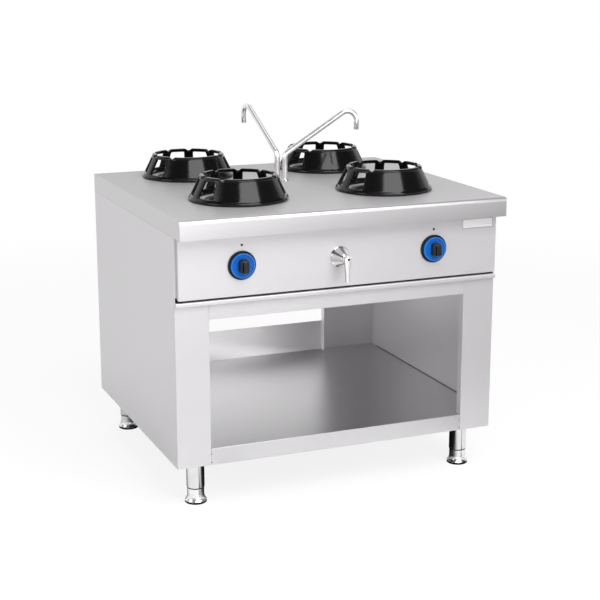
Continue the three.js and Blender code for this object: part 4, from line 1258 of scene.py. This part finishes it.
def makeCamera():
    data = bpy.data.cameras.new("camera")
    data.lens = view["lens"]
    data.sensor_width = view["sensor"]
    data.sensor_fit = "HORIZONTAL"
    camera = bpy.data.objects.new("camera", data)
    camera.location = view["place"]
    camera.rotation_euler = (math.radians(90 - view["pitch"]), 0, math.radians(-view["yaw"]))
    bpy.context.scene.collection.objects.link(camera)
    bpy.context.scene.camera = camera


def makeLamp(name, place, target, width, height, power):
    data = bpy.data.lights.new(name, "AREA")
    data.shape = "RECTANGLE"
    data.size = width
    data.size_y = height
    data.energy = power
    lamp = bpy.data.objects.new(name, data)
    lamp.location = place
    aim = Vector(target) - Vector(place)
    lamp.rotation_euler = aim.to_track_quat("-Z", "Y").to_euler()
    bpy.context.scene.collection.objects.link(lamp)
    return lamp


# White paper for the camera; what metal mirrors of it is painted darker: a painted shade in front that
# deepens from left to right, painted shade below the range and two thin painted shadows of the front legs
def makeFloor():
    build = bmesh.new()
    bmesh.ops.create_grid(build, x_segments=1, y_segments=1, size=studio["floorSize"])
    floor = meshObject("floor", build, "inner")
    paper = Finish("floorPaper", (studio["floorTone"],) * 3, 0.9, Specular_IOR_Level=0.0)
    spotX, spotY = paper.axis(paper.place, "X"), paper.axis(paper.place, "Y")
    reach = spotX * spotX + spotY * spotY
    camera = paper.node("LightPath", output="Is Camera Ray")
    mirrored = paper.node("LightPath", output="Is Glossy Ray")

    glow = studio["floorGlow"]
    distant = paper.softStep(reach, *(distance**2 for distance in studio["glowFull"]))
    away = paper.softStep(reach, studio["mirrorNear"] ** 2, studio["mirrorFar"] ** 2)
    seen = camera * (distant * (1 - glow) + glow) + mirrored * away
    # painted shade: what metal mirrors of the floor in front is darker towards the right
    rightward = paper.softStep(spotX + spotY * studio["mirrorSkew"], *studio["mirrorAcross"])
    ahead = 1 - paper.softStep(spotY, *studio["mirrorAhead"])
    toneLeft, toneRight = studio["mirrorTone"]
    level = 1 - mirrored * ahead * (1 - toneLeft + rightward * (toneLeft - toneRight))
    white = paper.node("Emission", None, {"Color": level})

    # painted shadow in the floor's colour, only in what metal mirrors: below the range and a thin strip from
    # each front leg
    inner, outer, tone = studio["underPaintedShade"]
    below = 1 - paper.softStep(reach, inner**2, outer**2)
    cosine, sine = math.cos(studio["legShade"]), math.sin(studio["legShade"])
    across = spotX * cosine + spotY * sine
    for side in sides:
        spot = middle("leg_tube_front_" + side)
        apart = across - (spot.x * cosine + spot.y * sine)
        shadow = 1 - paper.softStep(apart * apart, 0.0, studio["legShadeWide"] ** 2)
        below = below + shadow * (1 - below)
    paper.set("Base Color", (1 - mirrored * below * (1 - tone)) * studio["floorTone"])
    surface = Field(paper.tree, paper.shader.outputs[0])
    mix = paper.node("MixShader", None, {0: seen, 1: surface, 2: white})
    paper.tree.links.new(mix.socket, paper.tree.nodes["Material Output"].inputs["Surface"])
    floor.data.materials[0] = paper.material


# White all round for the camera; what metal and enamel reflect has a darker band high up in front
def makeWorld():
    world = bpy.data.worlds.new("studio")
    bpy.context.scene.world = world
    world.use_nodes = True
    world.node_tree.nodes.clear()
    sky = Nodes(world.node_tree)
    heading = sky.node("TexCoord", output="Generated")
    height = sky.axis(heading, "Z")
    high = sky.softStep(height, *studio["bandLow"]) * (1 - sky.softStep(height, *studio["bandHigh"]))
    ahead = 1 - sky.softStep(sky.axis(heading, "Y"), *studio["bandBack"])
    shadow = high * ahead * (1 - studio["bandTone"])
    camera = sky.node("LightPath", output="Is Camera Ray")
    seen = camera + sky.node("LightPath", output="Is Transmission Ray")
    glossy = sky.node("LightPath", output="Is Glossy Ray")
    strength = seen + glossy * (1 - shadow) + (1 - seen - glossy) * studio["fill"]
    light = sky.node("Background", None, {"Color": (1, 1, 1, 1), "Strength": strength})
    output = sky.tree.nodes.new("ShaderNodeOutputWorld")
    sky.tree.links.new(light.socket, output.inputs["Surface"])


makeCamera()
makeFloor()
makeWorld()
softboxes = {name: makeLamp(name, *values) for name, values in lamps.items()}
softboxes["wallBox"].visible_camera = False  # it hangs inside the cabinet and only lights its wall
softboxes["wallBox"].visible_glossy = False
bpy.context.scene.view_settings.view_transform = "Standard"
print("camera and light done")
